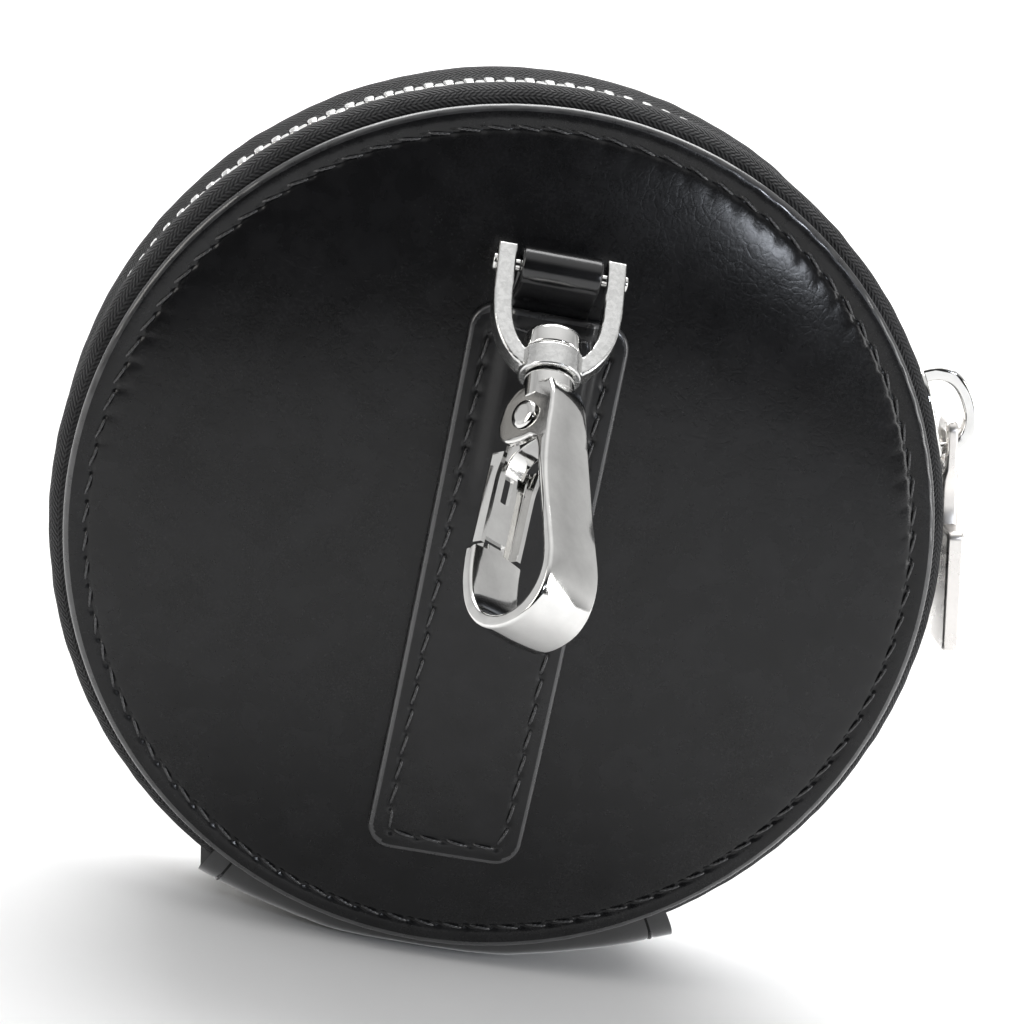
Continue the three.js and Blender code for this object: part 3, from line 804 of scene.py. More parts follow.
# ------------------------------------------------------------------ zip teeth
def teeth(name, side, first, node):
    pitch = rad(2.6)
    angles = np.arange(rad(first), rad(147 - 0.7) + 1e-6, pitch)
    # sections from the tape side to the tip: y, width along the chain, height, centre height
    rows = [
        (2.75, 0.55, 0.9, 0.0), (2.65, 1.0, 1.15, 0.0), (2.45, 1.25, 1.25, 0.0), (1.6, 1.3, 1.3, 0.0),
        (1.15, 1.22, 1.25, 0.0), (0.85, 0.95, 1.1, 0.0), (0.5, 0.95, 1.05, 0.0), (0.25, 1.08, 1.15, 0.0),
        (-0.2, 1.12, 1.15, 0.0), (-0.45, 1.02, 1.05, 0.0), (-0.6, 0.6, 0.7, 0.0),
    ]
    n = 12
    w = np.linspace(0, 2 * PI, n, endpoint=False) + PI / n
    cx, cz = np.cos(w), np.sin(w)
    e = 0.45
    sx, sz = np.sign(cx) * np.abs(cx) ** e, np.sign(cz) * np.abs(cz) ** e
    tooth = []
    for y, ww, hh, c in rows:
        tooth.append(np.stack([sx * ww / 2, np.full(n, y), 50.62 + c + sz * hh / 2], -1))
    tooth = np.concatenate(tooth)
    # dimple on top of the crown
    top = (tooth[:, 2] > 51.0) & (np.abs(tooth[:, 1] - 0.25) < 0.3)
    tooth[top, 2] -= 0.07
    T, F = [], []
    g = np.random.default_rng(int(abs(first) * 10))
    for a in angles:
        base = len(T) * len(tooth)
        t = tooth.copy()
        t[:, 1] *= side
        t[:, 2] += g.uniform(-0.03, 0.03)
        t[:, 0] += g.uniform(-0.02, 0.02)
        x, z = t[:, 0].copy(), t[:, 2].copy()
        t[:, 0] = x * math.cos(a) + z * math.sin(a)
        t[:, 2] = ZC - x * math.sin(a) + z * math.cos(a)
        T.append(t)
        F += grid_faces(len(rows), n, False, True, base)
        F.append([base + i for i in range(n)])
        F.append([base + (len(rows) - 1) * n + i for i in range(n)][::-1])
    o = build(name, np.concatenate(T), F, M_NICKEL, sharp=50)
    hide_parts(node)
    return o


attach(teeth("front_zip_teeth", -1, -146.0, "front_teeth"), "front_half")
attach(teeth("back_zip_teeth", 1, -146.0 + 1.3, "back_teeth"), "back_half")


def arc_frame(a):
    """Origin on the disc's axis, axes along the chain, along Y and outwards, at an angle from the top."""
    return (
        np.array([0.0, 0.0, ZC]),
        np.array([math.cos(a), 0.0, -math.sin(a)]),
        np.array([0.0, 1.0, 0.0]),
        np.array([math.sin(a), 0.0, math.cos(a)]),
    )


for nm, a, node in (("end_stop_right", rad(148.5), "zip_end_stop_right"), ("end_stop_left", rad(-148.5), "zip_end_stop_left")):
    o = plate(nm, [round_loop([(-0.85, -2.2), (0.85, -2.2), (0.85, 2.2), (-0.85, 2.2)], 0.35, 4)], 49.9, 51.3, 0.25, arc_frame(a), M_NICKEL)
    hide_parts(node)
    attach(weighted(o), "back_half")

# ------------------------------------------------------------------ base strip
BASE_LINE = np.array([(0, 0), (9, 0), (14, 0.9), (19, 2.05), (24, 3.42), (28.3, 4.86)])
BASE_L, BASE_R = rad(29.1), rad(32.4)


def skew(x, y):
    """The strip's ends are a little longer along both its edges, where it is not drawn out over the bulge."""
    end = BASE_R if x > 0 else BASE_L
    return np.sign(x) * rad(1.7) * (np.abs(y) / 10.2) ** 2 * sstep(abs(x), end - rad(7.0), end)


def base_r(th):
    """Outer radius of the base strip at an angle from the bottom."""
    th = np.abs(th)
    fine = catmull([(-9, 0), (0, 0), (7.5, 0.0), (11, 0.28), (14, 0.88), (19, 2.05), (24, 3.42), (28.3, 4.86), (31.0, 5.75)], 30)
    fine = fine[fine[:, 0] >= 0]
    t = np.arctan2(fine[:, 0], ZC - fine[:, 1])
    r = np.hypot(fine[:, 0], ZC - fine[:, 1])
    return np.interp(th, t, r)


def base_strip():
    n = 240
    th = np.linspace(-BASE_L, BASE_R, n)
    ys = 10.2 * np.sin(np.linspace(-PI / 2, PI / 2, 61))
    loops = []
    sewn = np.exp(-((np.abs(th - (BASE_R - rad(2.4))) / rad(0.34)) ** 2)) + np.exp(-((np.abs(th + BASE_L - rad(2.4)) / rad(0.34)) ** 2))
    for x, dip in zip(th, sewn):
        ro = base_r(x) - 0.30 * dip
        top = 43.6 + (50.25 - 43.6) * float(sstep(abs(x), rad(27.0), rad(27.9)))
        g = np.clip(1 - np.abs(ys / 10.22) ** 5.5, 0, 1) ** (1 / 2.4)
        wr = 0.05 * math.sin(23 * x) + 0.04 * math.sin(61 * x + 1.0)
        ro_y = 50.3 + (ro - 50.3) * g + wr * 0.6 * g * (1 - g) * 4 * 0.5
        outer = np.stack([ro_y, ys], -1)
        fl = np.linspace(top, 50.2, 8)
        left = np.stack([fl, np.full(8, -10.25)], -1)
        right = np.stack([fl[::-1], np.full(8, 10.25)], -1)
        T = 1.15
        gi = np.clip(1 - np.abs(ys / 10.22) ** 5.5, 0, 1) ** (1 / 2.4)
        yi = ys * (9.5 / 10.2)
        end = BASE_R - x if x > 0 else BASE_L + x
        shut = 1 - float(sstep(end, rad(0.7), rad(1.9)))
        deep = ro - T
        deep += (min(deep, 51.98) - deep) * shut
        ri = 50.0 + (deep - 50.0) * gi
        inner = np.stack([ri, yi], -1)[::-1]
        fi = np.linspace(50.0, top, 8)
        r2 = np.stack([fi, np.full(8, 9.62)], -1)
        l2 = np.stack([fi[::-1], np.full(8, -9.62)], -1)
        loops.append(np.vstack([left, outer, right, r2, inner, l2]))
    L = np.array(loops)
    mm_ = L.shape[1]
    ang = PI - th[:, None] - np.array([skew(x, L[i, :, 1]) for i, x in enumerate(th)])
    V = polar(ang, L[:, :, 0], L[:, :, 1]).reshape(-1, 3)
    faces = grid_faces(n, mm_, False, True)
    # faces along the stitch lines take the dark raw-end leather as painted shade in the seam groove
    fm = [1 if min(sewn[i], sewn[i + 1]) > 0.55 else 0 for i in range(n - 1) for _ in range(mm_)]
    faces.append(list(range(mm_)))
    faces.append([(n - 1) * mm_ + i for i in range(mm_)][::-1])
    fm += [1, 1]
    o = build("base_strip", V, faces, M_BASE, mats=[M_BASE, M_RAW_END_AND_SEAM_SHADE], face_mats=fm, sharp=60)
    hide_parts("base_gusset", "base_gusset_front")
    return o


base = base_strip()
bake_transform(base)

# stitches across both ends of the base strip
for nm, sgn, end in (("base_stitching_right", 1, BASE_R), ("base_stitching_left", -1, BASE_L)):
    th0 = end - rad(2.4)
    ys = np.array([-9.9, -8.9, -5.9, -2.95, 0.0, 2.95, 5.9, 8.9, 9.9])
    g = np.clip(1 - np.abs(ys / 10.22) ** 5.5, 0, 1) ** (1 / 2.4)
    rr = 50.3 + (base_r(th0) - 50.3) * g + 0.04
    pts = polar(PI - sgn * th0 - skew(sgn * th0, ys), rr, ys)
    out = polar(PI - sgn * th0, np.ones(9), np.zeros(9)) - np.array([0, 0, ZC])
    nrm = out + np.array([0, 1, 0]) * (np.sign(ys) * np.array([1.6, 0.5, 0, 0, 0, 0, 0, 0.5, 1.6]))[:, None]
    nrm /= np.linalg.norm(nrm, axis=1)[:, None]
    o = stitches(nm, pts, nrm, None, slant=0.15)
    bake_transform(o)

# ------------------------------------------------------------------ linings


def lining(name, side, node):
    a = np.arange(240) * 2 * PI / 240
    prof = [(0, 8.62), (8, 8.62), (16, 8.60), (26, 8.58), (36, 8.56), (42, 8.55), (44.5, 8.60), (45.6, 8.72), (46.0, 8.9), (45.9, 9.15), (45.0, 9.28), (30, 9.28), (12, 9.28), (0, 9.28)]
    verts = [polar(0.0, 0.0, side * prof[0][1])]
    faces = []
    n = len(a)
    for r, y in prof[1:-1]:
        yy = y + (0.05 * noise1(a, 11) * (r / 46) if y < 9 else 0)
        verts.extend(polar(a, r, side * yy))
    verts.append(polar(0.0, 0.0, side * prof[-1][1]))
    for j in range(n):
        faces.append([0, 1 + j, 1 + (j + 1) % n])
    k = len(prof) - 2
    faces += grid_faces(k, n, False, True, 1)
    last = 1 + (k - 1) * n
    for j in range(n):
        faces.append([len(verts) - 1, last + (j + 1) % n, last + j])
    o = build(name, np.array(verts).reshape(-1, 3), faces, M_LINING)
    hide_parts(node)
    return o


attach(lining("front_lining_cloth", -1, "front_lining"), "front_half")
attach(lining("back_lining_cloth", 1, "back_lining"), "back_half")


def floor_lining():
    n = 120
    th = np.linspace(-rad(26.5), rad(26.5), n)
    ys = np.linspace(-9.2, 9.2, 25)
    out, inn = [], []
    for x in th:
        ro = base_r(x)
        out.append(np.stack([np.full(25, ro - 1.45) - 0.0 * ys, ys], -1))
        inn.append(np.stack([np.full(25, ro - 1.95) - 0.06 * np.cos(ys * 0.9), ys], -1)[::-1])
    L = np.concatenate([np.array(out), np.array(inn)], 1)
    V = polar((PI - th)[:, None], L[:, :, 0], L[:, :, 1]).reshape(-1, 3)
    k = L.shape[1]
    faces = grid_faces(n, k, False, True)
    faces.append(list(range(k)))
    faces.append([(n - 1) * k + i for i in range(k)][::-1])
    o = build("floor_lining_cloth", V, faces, M_LINING, sharp=60)
    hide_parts("base_lining")
    return o


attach(floor_lining(), "back_half")

# ------------------------------------------------------------------ strap patch
PX, PTOP, PBOT, PR, PT = 9.0, 27.9, -37.6, 3.0, 1.4


def patch_sdf(x, z, inset=0.0, r=PR):
    cz, hz = (PTOP + PBOT) / 2, (PTOP - PBOT) / 2
    qx = np.abs(x) - (PX - inset - r)
    qz = np.abs(z - cz) - (hz - inset - r)
    return np.hypot(np.maximum(qx, 0), np.maximum(qz, 0)) + np.minimum(np.maximum(qx, qz), 0) - r


def patch_lift(x, z):
    return 1.35 * sstep(z, 5.0, 12.5) * (1 - sstep(np.abs(x), 4.2, 6.0))


def patch_path(inset, r, n):
    """Rounded rectangle inside the patch's edge, as a closed line of n points (x, z)."""
    x1, z1, z0 = PX - inset, PTOP - inset, PBOT + inset
    return resample(round_loop([(x1, z1), (-x1, z1), (-x1, z0), (x1, z0)], r, 8), n, closed=True)


N_PATCH = 47


def patch():
    holes = patch_path(2.1, 1.6, N_PATCH)
    xs = np.unique(np.round(np.concatenate([np.linspace(0, 6, 19), 6 + 3 * np.sin(np.linspace(0, PI / 2, 22))]), 4))
    xs = np.concatenate([-xs[::-1][:-1], xs])
    t = np.concatenate([[0, 0.05, 0.12, 0.22, 0.36, 0.55], np.linspace(0.85, 64.65, 210), [64.95, 65.14, 65.28, 65.38, 65.45, 65.5]]) / 65.5
    X = np.tile(xs[:, None], (1, len(t)))
    cut_ = np.where(np.abs(X) > 6, 3 - np.sqrt(np.clip(9 - (np.abs(X) - 6) ** 2, 0, None)), 0)
    zb, zt = PBOT + cut_, PTOP - cut_
    Z = zb + (zt - zb) * t[None, :]
    d = np.maximum(-patch_sdf(X, Z), 0)
    under = dome(np.hypot(X + CLIP_X, Z)) + 0.03
    lift = patch_lift(X, Z)
    e = 0.42
    roll = np.where(d < e, e - np.sqrt(np.clip(e * e - (e - d) ** 2, 0, None)), 0)
    s = -patch_sdf(X, Z, 0.0) - 2.1
    groove = np.exp(-((s / 0.33) ** 2))
    hd = np.min(np.hypot(X[..., None] - holes[:, 0], Z[..., None] - holes[:, 1]), -1)
    pit = np.exp(-((hd / 0.38) ** 2))
    crown = 0.16 * np.clip(d / 2.1, 0, 1) * (1 - np.clip((d - 2.1) / 4, 0, 1) * 0.2)
    Yo = under + lift + PT - roll - groove * 0.14 - pit * 0.30 + crown
    Yi = under + lift
    nx, nt = X.shape
    top = np.stack([X + CLIP_X, -Yo, Z + ZC], -1).reshape(-1, 3)
    bot = np.stack([X + CLIP_X, -Yi, Z + ZC], -1).reshape(-1, 3)
    off = nx * nt
    faces = grid_faces(nx, nt)
    fm = []
    dd = d
    dq = np.minimum(np.minimum(dd[:-1, :-1], dd[1:, :-1]), np.minimum(dd[:-1, 1:], dd[1:, 1:])).ravel()
    fm += [1 if v < 0.5 else 0 for v in dq]
    fb = grid_faces(nx, nt, False, False, off)
    faces += [f[::-1] for f in fb]
    fm += [0] * len(fb)
    ring = [i * nt for i in range(nx)] + [(nx - 1) * nt + j for j in range(1, nt)] + [i * nt + nt - 1 for i in range(nx - 2, -1, -1)] + [j for j in range(nt - 2, 0, -1)]
    for i in range(len(ring)):
        a, b = ring[i], ring[(i + 1) % len(ring)]
        faces.append([a, b, b + off, a + off])
        fm.append(1)
    o = build("patch_strap", np.vstack([top, bot]), faces, M_PATCH, mats=[M_PATCH, M_EDGE], face_mats=fm)
    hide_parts("strap_patch")
    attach(o, "front_half")
    hx, hz = holes[:, 0], holes[:, 1]

    def surf(x, z):
        return dome(np.hypot(x + CLIP_X, z)) + 0.03 + patch_lift(x, z) + PT + 0.10

    y = surf(hx, hz)
    gx = (surf(hx + 0.2, hz) - surf(hx - 0.2, hz)) / 0.4
    gz = (surf(hx, hz + 0.2) - surf(hx, hz - 0.2)) / 0.4
    nrm = np.stack([-gx, -np.ones_like(gx), -gz], -1)
    nrm /= np.linalg.norm(nrm, axis=1)[:, None]
    pts = np.stack([hx + CLIP_X, -y, hz + ZC], -1)
    pts, nrm = np.vstack([pts, pts[:1]]), np.vstack([nrm, nrm[:1]])
    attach(stitches("patch_stitching", pts, nrm, "patch_thread", slant=0.2), "front_half")


patch()

# ------------------------------------------------------------------ leather loop round the pin
PIN_X = -0.9
PIN = np.array([PIN_X, -19.0, ZC + 33.0])


def hanger():
    py, pz = PIN[1], 33.0
    D = lambda z: -float(dome(abs(z)))
    pts = [(D(14) - 0.42, 14.0, 0.55), (D(20) - 0.42, 20.0, 0.6), (D(25.5) - 0.42, 25.5, 0.7), (D(28) - 0.55, 28.2, 0.9)]
    for psi in np.arange(28, 236, 16):
        pts.append((py + 1.68 * math.cos(rad(psi)), pz + 1.68 * math.sin(rad(psi)), 1.22))
    pts += [(-17.9, 30.05, 1.1), (D(28) - 1.5, 28.6, 0.8), (D(25.5) - 1.06, 25.5, 0.6), (D(20) - 1.06, 20.0, 0.55), (D(14) - 1.0, 14.0, 0.5)]
    line = catmull(pts, 9)
    line = resample(line, 190)
    c, th = line[:, :2], line[:, 2]
    tan = np.gradient(c, axis=0)
    tan /= np.linalg.norm(tan, axis=1)[:, None]
    nor = np.stack([tan[:, 1], -tan[:, 0]], -1)  # towards the pin on the ring
    sec = []
    W = 4.45
    nx = 15
    verts, faces = [], []
    strip = []
    n_sec = 0
    for i in range(len(c)):
        h = th[i] / 2
        er = min(0.36, h * 0.8)
        pts_ = []
        for cx, cn, a0 in ((W - er, h - er, 0), (-(W - er), h - er, 90), (-(W - er), -(h - er), 180), (W - er, -(h - er), 270)):
            for k in range(5):
                t = rad(a0 + 22.5 * k)
                pts_.append((cx + er * math.cos(t), cn + er * math.sin(t)))
            if a0 == 0 or a0 == 180:
                sgn = 1 if a0 == 0 else -1
                for k in range(1, nx):
                    x = sgn * (W - er) * (1 - 2 * k / nx)
                    crown = 0.10 * (1 - (x / W) ** 2) if sgn < 0 else 0
                    pts_.append((x, sgn * h - crown * (1 if sgn < 0 else 0)))
        n_sec = len(pts_)
        for x, w in pts_:
            p = c[i] + nor[i] * w
            verts.append((PIN_X + x, p[0], p[1] + ZC))
    faces = grid_faces(len(c), n_sec, False, True)
    faces.append(list(range(n_sec)))
    faces.append([(len(c) - 1) * n_sec + i for i in range(n_sec)][::-1])
    o = build("loop_strap", np.array(verts), faces, M_STRAP)
    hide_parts("hanger_loop")
    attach(o, "front_half")


hanger()

# ------------------------------------------------------------------ clip
LEAN, TWIST, NECK = rad(43), rad(54), 13.8
AX = np.array([1.0, 0, 0])
AV = np.array([0, -math.sin(LEAN), -math.cos(LEAN)])
AM = np.array([0, -math.cos(LEAN), math.sin(LEAN)])
SH = (PIN, AX, AV, -AM)
HN = AM * math.cos(TWIST) - AX * math.sin(TWIST)
HU = AX * math.cos(TWIST) + AM * math.sin(TWIST)
HK = (PIN + AV * NECK, HU, AV, -HN)
PIVOT = (-0.1, 5.7)


def shackle():
    half = catmull([(7.15, -2.0), (7.15, 1.5), (7.12, 4.4), (6.8, 7.6), (5.9, 10.2), (4.5, 12.2), (3.0, 13.35)], 7)
    inner = catmull([(2.5, 11.5), (3.7, 10.2), (4.6, 8.2), (5.02, 5.4), (5.05, 2.0), (5.05, -2.0)], 7)
    flip = lambda l: (l * np.array([-1, 1]))[::-1]
    loop = np.vstack([half, flip(half), flip(inner), inner])
    u = plate("shackle_bow", [densify(loop, 0.7)], -1.3, 1.3, 0.32, SH, M_CAST, seg=3)
    boss = turned("boss", rounded_profile([(0, 10.9), (3.45, 10.9), (3.45, 13.7), (0, 13.7)], 0.28), 64, SH, "b", M_CHROME)
    o = cut(u, boss, "UNION")
    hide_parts("shackle")
    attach(weighted(o, 30), "clip_shackle")
    pin = turned("cross_pin", rounded_profile([(0, -7.62), (0.6, -7.6), (0.95, -7.45), (1.0, -7.15), (0.7, -7.1), (0.7, 7.1), (1.0, 7.15), (0.95, 7.45), (0.6, 7.6), (0, 7.62)], 0.1), 40, SH, "a", M_CHROME)
    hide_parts("shackle_pin")
    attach(weighted(pin), "clip_shackle")


shackle()


def hook():
    outer = catmull([(2.7, 1.75), (3.35, 3.4), (3.65, 5.6), (3.8, 8.4), (4.25, 12.5), (5.0, 17.0), (5.85, 20.8), (6.42, 24.0), (6.25, 26.6), (5.35, 28.8), (3.65, 30.35), (0.9, 31.05), (-1.8, 30.65), (-4.1, 29.15), (-5.65, 26.8), (-6.32, 24.0), (-6.38, 21.8), (-6.28, 19.95)], 6)
    inner = catmull([(-4.9, 19.95), (-4.98, 21.8), (-4.85, 24.0), (-4.3, 26.2), (-3.1, 28.05), (-1.3, 29.2), (0.85, 29.55), (2.9, 28.9), (4.3, 27.5), (5.0, 25.9), (5.15, 24.0), (4.68, 20.8), (3.9, 17.2), (3.1, 13.2), (2.65, 10.8), (2.05, 9.3)], 6)
    head = catmull([(1.0, 8.65), (-0.8, 8.8), (-2.4, 8.5), (-3.6, 7.55), (-4.1, 6.0), (-3.95, 4.1), (-3.2, 2.6), (-2.1, 1.75), (-1.0, 1.5), (1.2, 1.45)], 5)
    loop = np.vstack([outer, inner, head])

    def shoulders(u, v, n):
        h = 2.55 + 1.15 * float(sstep(v, 1.0, 15.0))
        return u, v, n * h / 3.5

    body = plate("hook_frame", [densify(loop, 0.9)], -3.5, 3.5, 0.38, HK, M_CHROME, seg=4, warp=shoulders, crown=0.15)
    neck = turned("neck", rounded_profile([(0, -3.9), (1.5, -3.9), (1.5, 0.12), (2.75, 0.12), (2.75, 3.1), (0, 3.1)], 0.2), 48, HK, "b", M_CHROME)
    nose = plate("nose", [round_loop([(-6.15, 18.7), (-5.4, 18.7), (-5.4, 20.6), (-6.15, 20.6)], 0.15, 2)], -1.15, 1.15, 0.2, HK, M_CHROME)
    slot_ = plate("slot", [round_loop([(-6.5, 3.0), (2.2, 3.0), (2.2, 9.6), (-6.5, 9.6)], [0.01, 1.2, 0.4, 0.01], 4)], -2.4, 2.4, 0.15, HK, M_CHROME, seg=1)
    cut(body, neck, "UNION")
    cut(body, nose, "UNION")
    cut(body, slot_, "DIFFERENCE")
    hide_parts("hook_body")
    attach(weighted(body, 32), "clip_hook")

    cap = turned("post_cap", rounded_profile([(0, 7.85), (1.6, 7.9), (2.75, 8.15), (3.12, 8.75), (3.12, 10.65), (1.55, 10.65), (1.55, 9.8), (0, 9.8)], 0.3), 64, SH, "b", M_CHROME)
    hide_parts("swivel_cap")
    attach(weighted(cap), "clip_hook")

    fr = (HK[0] + HU * PIVOT[0] + AV * PIVOT[1], HK[1], HK[2], HK[3])
    riv = turned("rivet", rounded_profile([(0, -3.62), (1.0, -3.60), (1.5, -3.45), (1.7, -3.2), (0.95, -3.2), (0.95, 3.2), (1.7, 3.2), (1.5, 3.45), (1.0, 3.60), (0, 3.62)], 0.1), 48, fr, "c", M_CHROME)
    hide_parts("gate_rivet")
    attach(weighted(riv), "clip_hook")

    # coil spring round the rivet
    turns, n = 3.5, 140
    verts, faces = [], []
    for i in range(n):
        t = i / (n - 1)
        a = 2 * PI * turns * t
        c = np.array([1.5 * math.cos(a), 1.5 * math.sin(a), -2.05 + 0.95 * t])
        tan = np.array([-1.5 * math.sin(a) * turns * 2 * PI, 1.5 * math.cos(a) * turns * 2 * PI, 0.95])
        tan /= np.linalg.norm(tan)
        s1 = np.array([math.cos(a), math.sin(a), 0])
        s2 = np.cross(tan, s1)
        for k in range(8):
            w = 2 * PI * k / 8
            p = c + 0.13 * (math.cos(w) * s1 + math.sin(w) * s2)
            verts.append(fr[0] + p[0] * fr[1] + p[1] * fr[2] + p[2] * fr[3])
    faces = grid_faces(n, 8, False, True)
    faces.append(list(range(8)))
    faces.append([(n - 1) * 8 + i for i in range(8)][::-1])
    sp = build("coil", np.array(verts), faces, M_STEEL)
    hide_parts("gate_spring")
    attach(sp, "clip_hook")


hook()


def gate():
    # section of the pressed channel across the plate's normal: web outside, two flanges in
    T = 0.55
    line = np.array([(-4.75, 9.0), (-5.15, 11.5), (-5.6, 14.3), (-6.0, 16.9), (-6.38, 19.15)])
    line = catmull(line, 8)
    tan = np.gradient(line, axis=0)
    tan /= np.linalg.norm(tan, axis=1)[:, None]
    inn = np.stack([tan[:, 1], -tan[:, 0]], -1)
    inn *= np.sign(inn[:, :1])
    sec = []
    H, F, R = 3.05, 1.75, 0.55
    for k in range(7):
        t = rad(90 * k / 6)
        sec.append((R - R * math.cos(t) if False else R * (1 - math.sin(t)), H - R * (1 - math.cos(t))))
    outer = [(F, H)] + [(R - R * math.sin(rad(15 * k)), H - R + R * math.cos(rad(15 * k))) for k in range(7)]
    outer = outer + [(0.0, 1.5), (-0.05, 0.0), (0.0, -1.5)] + [(a, -b) for a, b in outer[::-1]]
    rr = R - T + 0.12
    inner_ = [(F, H - T)] + [(T + rr - rr * math.sin(rad(22.5 * k)), H - T - rr + rr * math.cos(rad(22.5 * k))) for k in range(5)]
    inner_ = inner_ + [(T, 1.3), (T - 0.05, 0.0), (T, -1.3)] + [(a, -b) for a, b in inner_[::-1]]
    loop = np.array(outer + inner_[::-1])
    verts = []
    for i in range(len(line)):
        fl = 1.0
        v = line[i][1]
        f_ = 1.0 + 0.25 * float(1 - sstep(v, 9.0, 12.0))
        for d, n in loop:
            dd = d * f_ if d > T else d
            p = line[i] + inn[i] * dd
            verts.append(HK[0] + p[0] * HK[1] + p[1] * HK[2] + n * HK[3])
    k = len(loop)
    faces = grid_faces(len(line), k, False, True)
    faces.append(list(range(k)))
    faces.append([(len(line) - 1) * k + i for i in range(k)][::-1])
    o = build("gate_channel", np.array(verts), faces, M_CHROME, sharp=35)
    window = plate("w", [round_loop([(-7.5, 10.6), (-3.9, 10.6), (-3.9, 13.6), (-7.5, 13.6)], 0.1, 1)], -0.55, 0.75, 0.1, HK, M_CHROME, seg=1)
    notch = plate("n", [[(-9, 17.9), (-4, 17.9), (-4, 21), (-9, 21)]], -1.5, 1.5, 0.1, HK, M_CHROME, seg=1)
    arm = plate("arm", [densify(round_loop([(-4.75, 7.4), (-5.25, 10.6), (-4.4, 10.6), (-3.6, 8.6), (-1.4, 7.9), (1.2, 7.2), (1.85, 5.7), (1.2, 4.1), (-0.6, 3.65), (-2.6, 4.3), (-4.1, 5.6)], 0.8, 4), 0.6)], -0.9, 2.0, 0.15, HK, M_CHROME)
    cut(o, window)
    cut(o, notch)
    cut(o, arm, "UNION")
    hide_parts("gate_lever")
    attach(weighted(o, 30), "clip_gate")


gate()

# ------------------------------------------------------------------ slider and pull
SL = rad(24.2)
SR = np.array([math.cos(SL), 0, math.sin(SL)])
ST = np.array([math.sin(SL), 0, -math.cos(SL)])
SY = np.array([0.0, 1.0, 0.0])
C0 = np.array([0, 0, ZC])
SF = (C0, ST, SY, SR)


def slider():
    shape = [(5.6, -2.2), (5.6, 2.2), (4.8, 3.5), (1.7, 3.85), (-1.7, 3.9), (-4.1, 3.3), (-5.6, 1.7), (-5.6, -1.7), (-4.1, -3.3), (-1.7, -3.9), (1.7, -3.85), (4.8, -3.5)]
    loop = round_loop(shape, 1.0, 5)
    top = plate("slider_shell", [loop], 51.5, 52.75, 0.38, SF, M_CHROME, seg=4)
    rails = []
    for s in (-1, 1):
        rail = round_loop([(5.2, s * 2.9), (4.8, s * 3.5), (1.7, s * 3.8), (-1.7, s * 3.85), (-3.4, s * 3.45), (-3.4, s * 2.9), (0, s * 3.1)], 0.25, 3)
        r_ = plate("rail", [rail], 51.15, 52.0, 0.12, SF, M_CHROME, seg=2)
        cut(top, r_, "UNION")
    AF = (C0, ST, SR, -SY)
    arch = catmull([(5.3, 52.3), (5.35, 54.0), (5.0, 55.6), (4.0, 57.0), (2.4, 57.8), (0.2, 58.05), (-2.0, 57.7), (-3.9, 56.8), (-5.0, 55.3), (-5.35, 53.8), (-5.35, 52.3)], 5)
    inside = catmull([(-3.75, 52.3), (-3.7, 54.0), (-3.25, 55.05), (-2.35, 55.9), (-1.1, 56.35), (0.2, 56.55), (1.45, 56.5), (2.6, 56.1), (3.5, 55.3), (3.9, 54.0), (3.9, 52.3)], 5)
    # the legs run straight for longer than the bevel, so that the inset outline keeps its corners
    legs = [l[[i for i in range(len(l)) if i in (0, len(l) - 1) or l[i, 1] > 52.95]] for l in (arch, inside)]
    bail = plate("bail", [np.vstack(legs)], -1.25, 1.25, 0.35, AF, M_BAIL, seg=3)
    cut(top, bail, "UNION")
    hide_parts("slider_body")
    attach(weighted(top, 32), "slider")
    low = plate("slider_lower_plate", [loop], 48.0, 49.0, 0.3, SF, M_NICKEL, seg=3)
    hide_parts("slider_inner_plate")
    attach(weighted(low, 32), "slider")


slider()

PD = np.array([0.19, 0, -0.9818])
PD /= np.linalg.norm(PD)
PE = np.cross(PD, SY)
PF = (C0 + SR * 54.9 + ST * 2.3 - np.array([0.25, 0, 0]), PD, SY, PE)


def pull():
    neck = [(-0.75, -2.2), (-0.75, 2.2), (0.0, 2.75), (5.0, 2.75), (7.4, 2.3), (10.0, 2.35), (12.6, 2.9), (12.6, -2.9), (10.0, -2.35), (7.4, -2.3), (5.0, -2.75), (0.0, -2.75)]
    hole = round_loop([(0.75, -1.5), (4.4, -1.5), (4.4, 1.5), (0.75, 1.5)], 0.5, 4)
    def thick(a, b, c):
        return a, b, c * (0.65 + 0.35 * float(sstep(a, 4.6, 6.4)))

    n = plate("pull_neck", [densify(round_loop(neck, 0.7, 5), 0.5), hole], -1.1, 1.1, 0.62, PF, M_PULL, seg=6, warp=thick)
    tag = round_loop([(11.5, -6.75), (26.25, -6.75), (26.25, 6.75), (11.5, 6.75)], 1.0, 6)
    t_ = plate("pull_plate", [tag], -1.0, 1.0, 0.42, PF, M_PULL, seg=4)
    o = cut(t_, n, "UNION")
    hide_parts("pull_tag")
    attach(weighted(o, 32), "pull")


pull()

# ------------------------------------------------------------------ carried-over CAD nodes
for node, mat in (("front_board", M_BOARD), ("back_board", M_BOARD)):
    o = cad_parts[node]
    o.data.materials.clear()
    o.data.materials.append(mat)

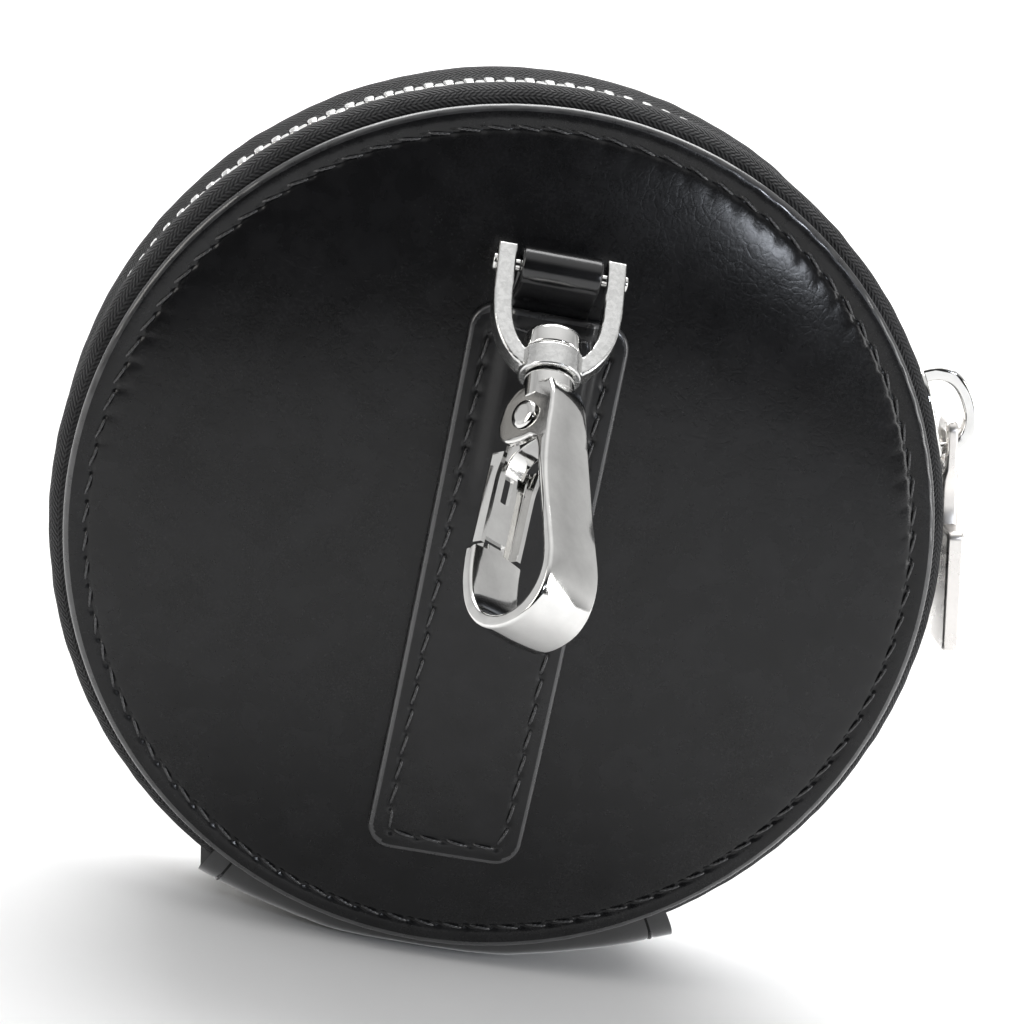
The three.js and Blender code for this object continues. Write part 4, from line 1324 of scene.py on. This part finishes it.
# ------------------------------------------------------------------ stage and light
paper = Nodes("stage_paper")
fco = paper.coords()
fn = paper.noise(fco, 40, 3, 0.6)
paper_tone = paper.ramp(paper.remap(fn, 0.3, 0.7, 0.0, 1.0), [(0.0, (0.86, 0.86, 0.86)), (1.0, (0.88, 0.88, 0.88))])
paper.out(paper_tone, paper.remap(fn, 0.3, 0.7, 0.75, 0.85))
me = bpy.data.meshes.new("floor")
X = 1.6
prof = [(-1.0, 0.0)] + [(0.9 + 0.5 * math.sin(t), 0.5 - 0.5 * math.cos(t)) for t in np.linspace(0, PI / 2, 17)] + [(1.4, 2.4)]
verts = [(x, y, z - 0.0002) for x in (-X, X) for y, z in prof]
k = len(prof)
me.from_pydata(verts, [], [[i, i + 1, k + i + 1, k + i] for i in range(k - 1)])
me.polygons.foreach_set("use_smooth", [True] * len(me.polygons))
me.materials.append(paper.mat)
floor = bpy.data.objects.new("floor", me)
bpy.context.scene.collection.objects.link(floor)

world = bpy.data.worlds.new("world")
bpy.context.scene.world = world
world.use_nodes = True
wt = world.node_tree
bg = wt.nodes["Background"]
tc = wt.nodes.new("ShaderNodeTexCoord")
sep = wt.nodes.new("ShaderNodeSeparateXYZ")
wt.links.new(tc.outputs["Generated"], sep.inputs[0])
def wnode(kind, **props):
    n = wt.nodes.new(kind)
    for k, v in props.items():
        setattr(n, k, v)
    return n


lean = wnode("ShaderNodeMath", operation="MULTIPLY_ADD")
lean.inputs[1].default_value = 0.6
wt.links.new(sep.outputs["Z"], lean.inputs[0])
wt.links.new(sep.outputs["Y"], lean.inputs[2])
mr = wnode("ShaderNodeMapRange", interpolation_type="SMOOTHSTEP")
for k, v in zip(("From Min", "From Max", "To Min", "To Max"), (-0.45, 0.12, 0.02, 1.0)):
    mr.inputs[k].default_value = v
wt.links.new(lean.outputs[0], mr.inputs["Value"])
rise = wnode("ShaderNodeValToRGB")
els = rise.color_ramp.elements
els.new(0.5)
for e, (pos, c) in zip(els, [(0.0, (0.95, 0.95, 0.95)), (0.5, (0.50, 0.50, 0.50)), (1.0, (1.0, 1.0, 1.0))]):
    e.position = pos
    e.color = (*c, 1)
wt.links.new(sep.outputs["Z"], rise.inputs["Fac"])
wt.links.new(rise.outputs["Color"], bg.inputs["Color"])
wt.links.new(mr.outputs["Result"], bg.inputs["Strength"])


def area(name, loc, target, size, power, size_y=None, color=(1, 1, 1)):
    d = bpy.data.lights.new(name, "AREA")
    d.shape = "RECTANGLE" if size_y else "SQUARE"
    d.size = size
    if size_y:
        d.size_y = size_y
    d.energy = power
    d.color = color
    o = bpy.data.objects.new(name, d)
    bpy.context.scene.collection.objects.link(o)
    o.location = loc
    o.rotation_mode = "QUATERNION"
    o.rotation_quaternion = (Vector(target) - Vector(loc)).to_track_quat("-Z", "Y")
    return o


area("overhead", (0.0, 0.62, 1.0), (0, 0.05, 0), 1.3, 17.0, 0.9)
area("window", (0.43, -0.80, 0.37), (0.02, 0, 0.08), 0.10, 1.35, 0.10, (0.86, 0.91, 1.0))
area("right_soft", (0.80, -0.38, 0.20), (0, 0, 0.05), 0.20, 2.3, 0.5)
area("left_soft", (-0.85, -0.30, 0.42), (0, 0, 0.05), 0.35, 2.0, 0.5, (1.0, 0.97, 0.92))
area("back_wash", (0.0, 0.75, 0.9), (0, 1.4, 0.6), 1.2, 8.0, 0.8)

bpy.context.scene.view_settings.view_transform = "Standard"
bpy.context.scene.view_settings.look = "None"
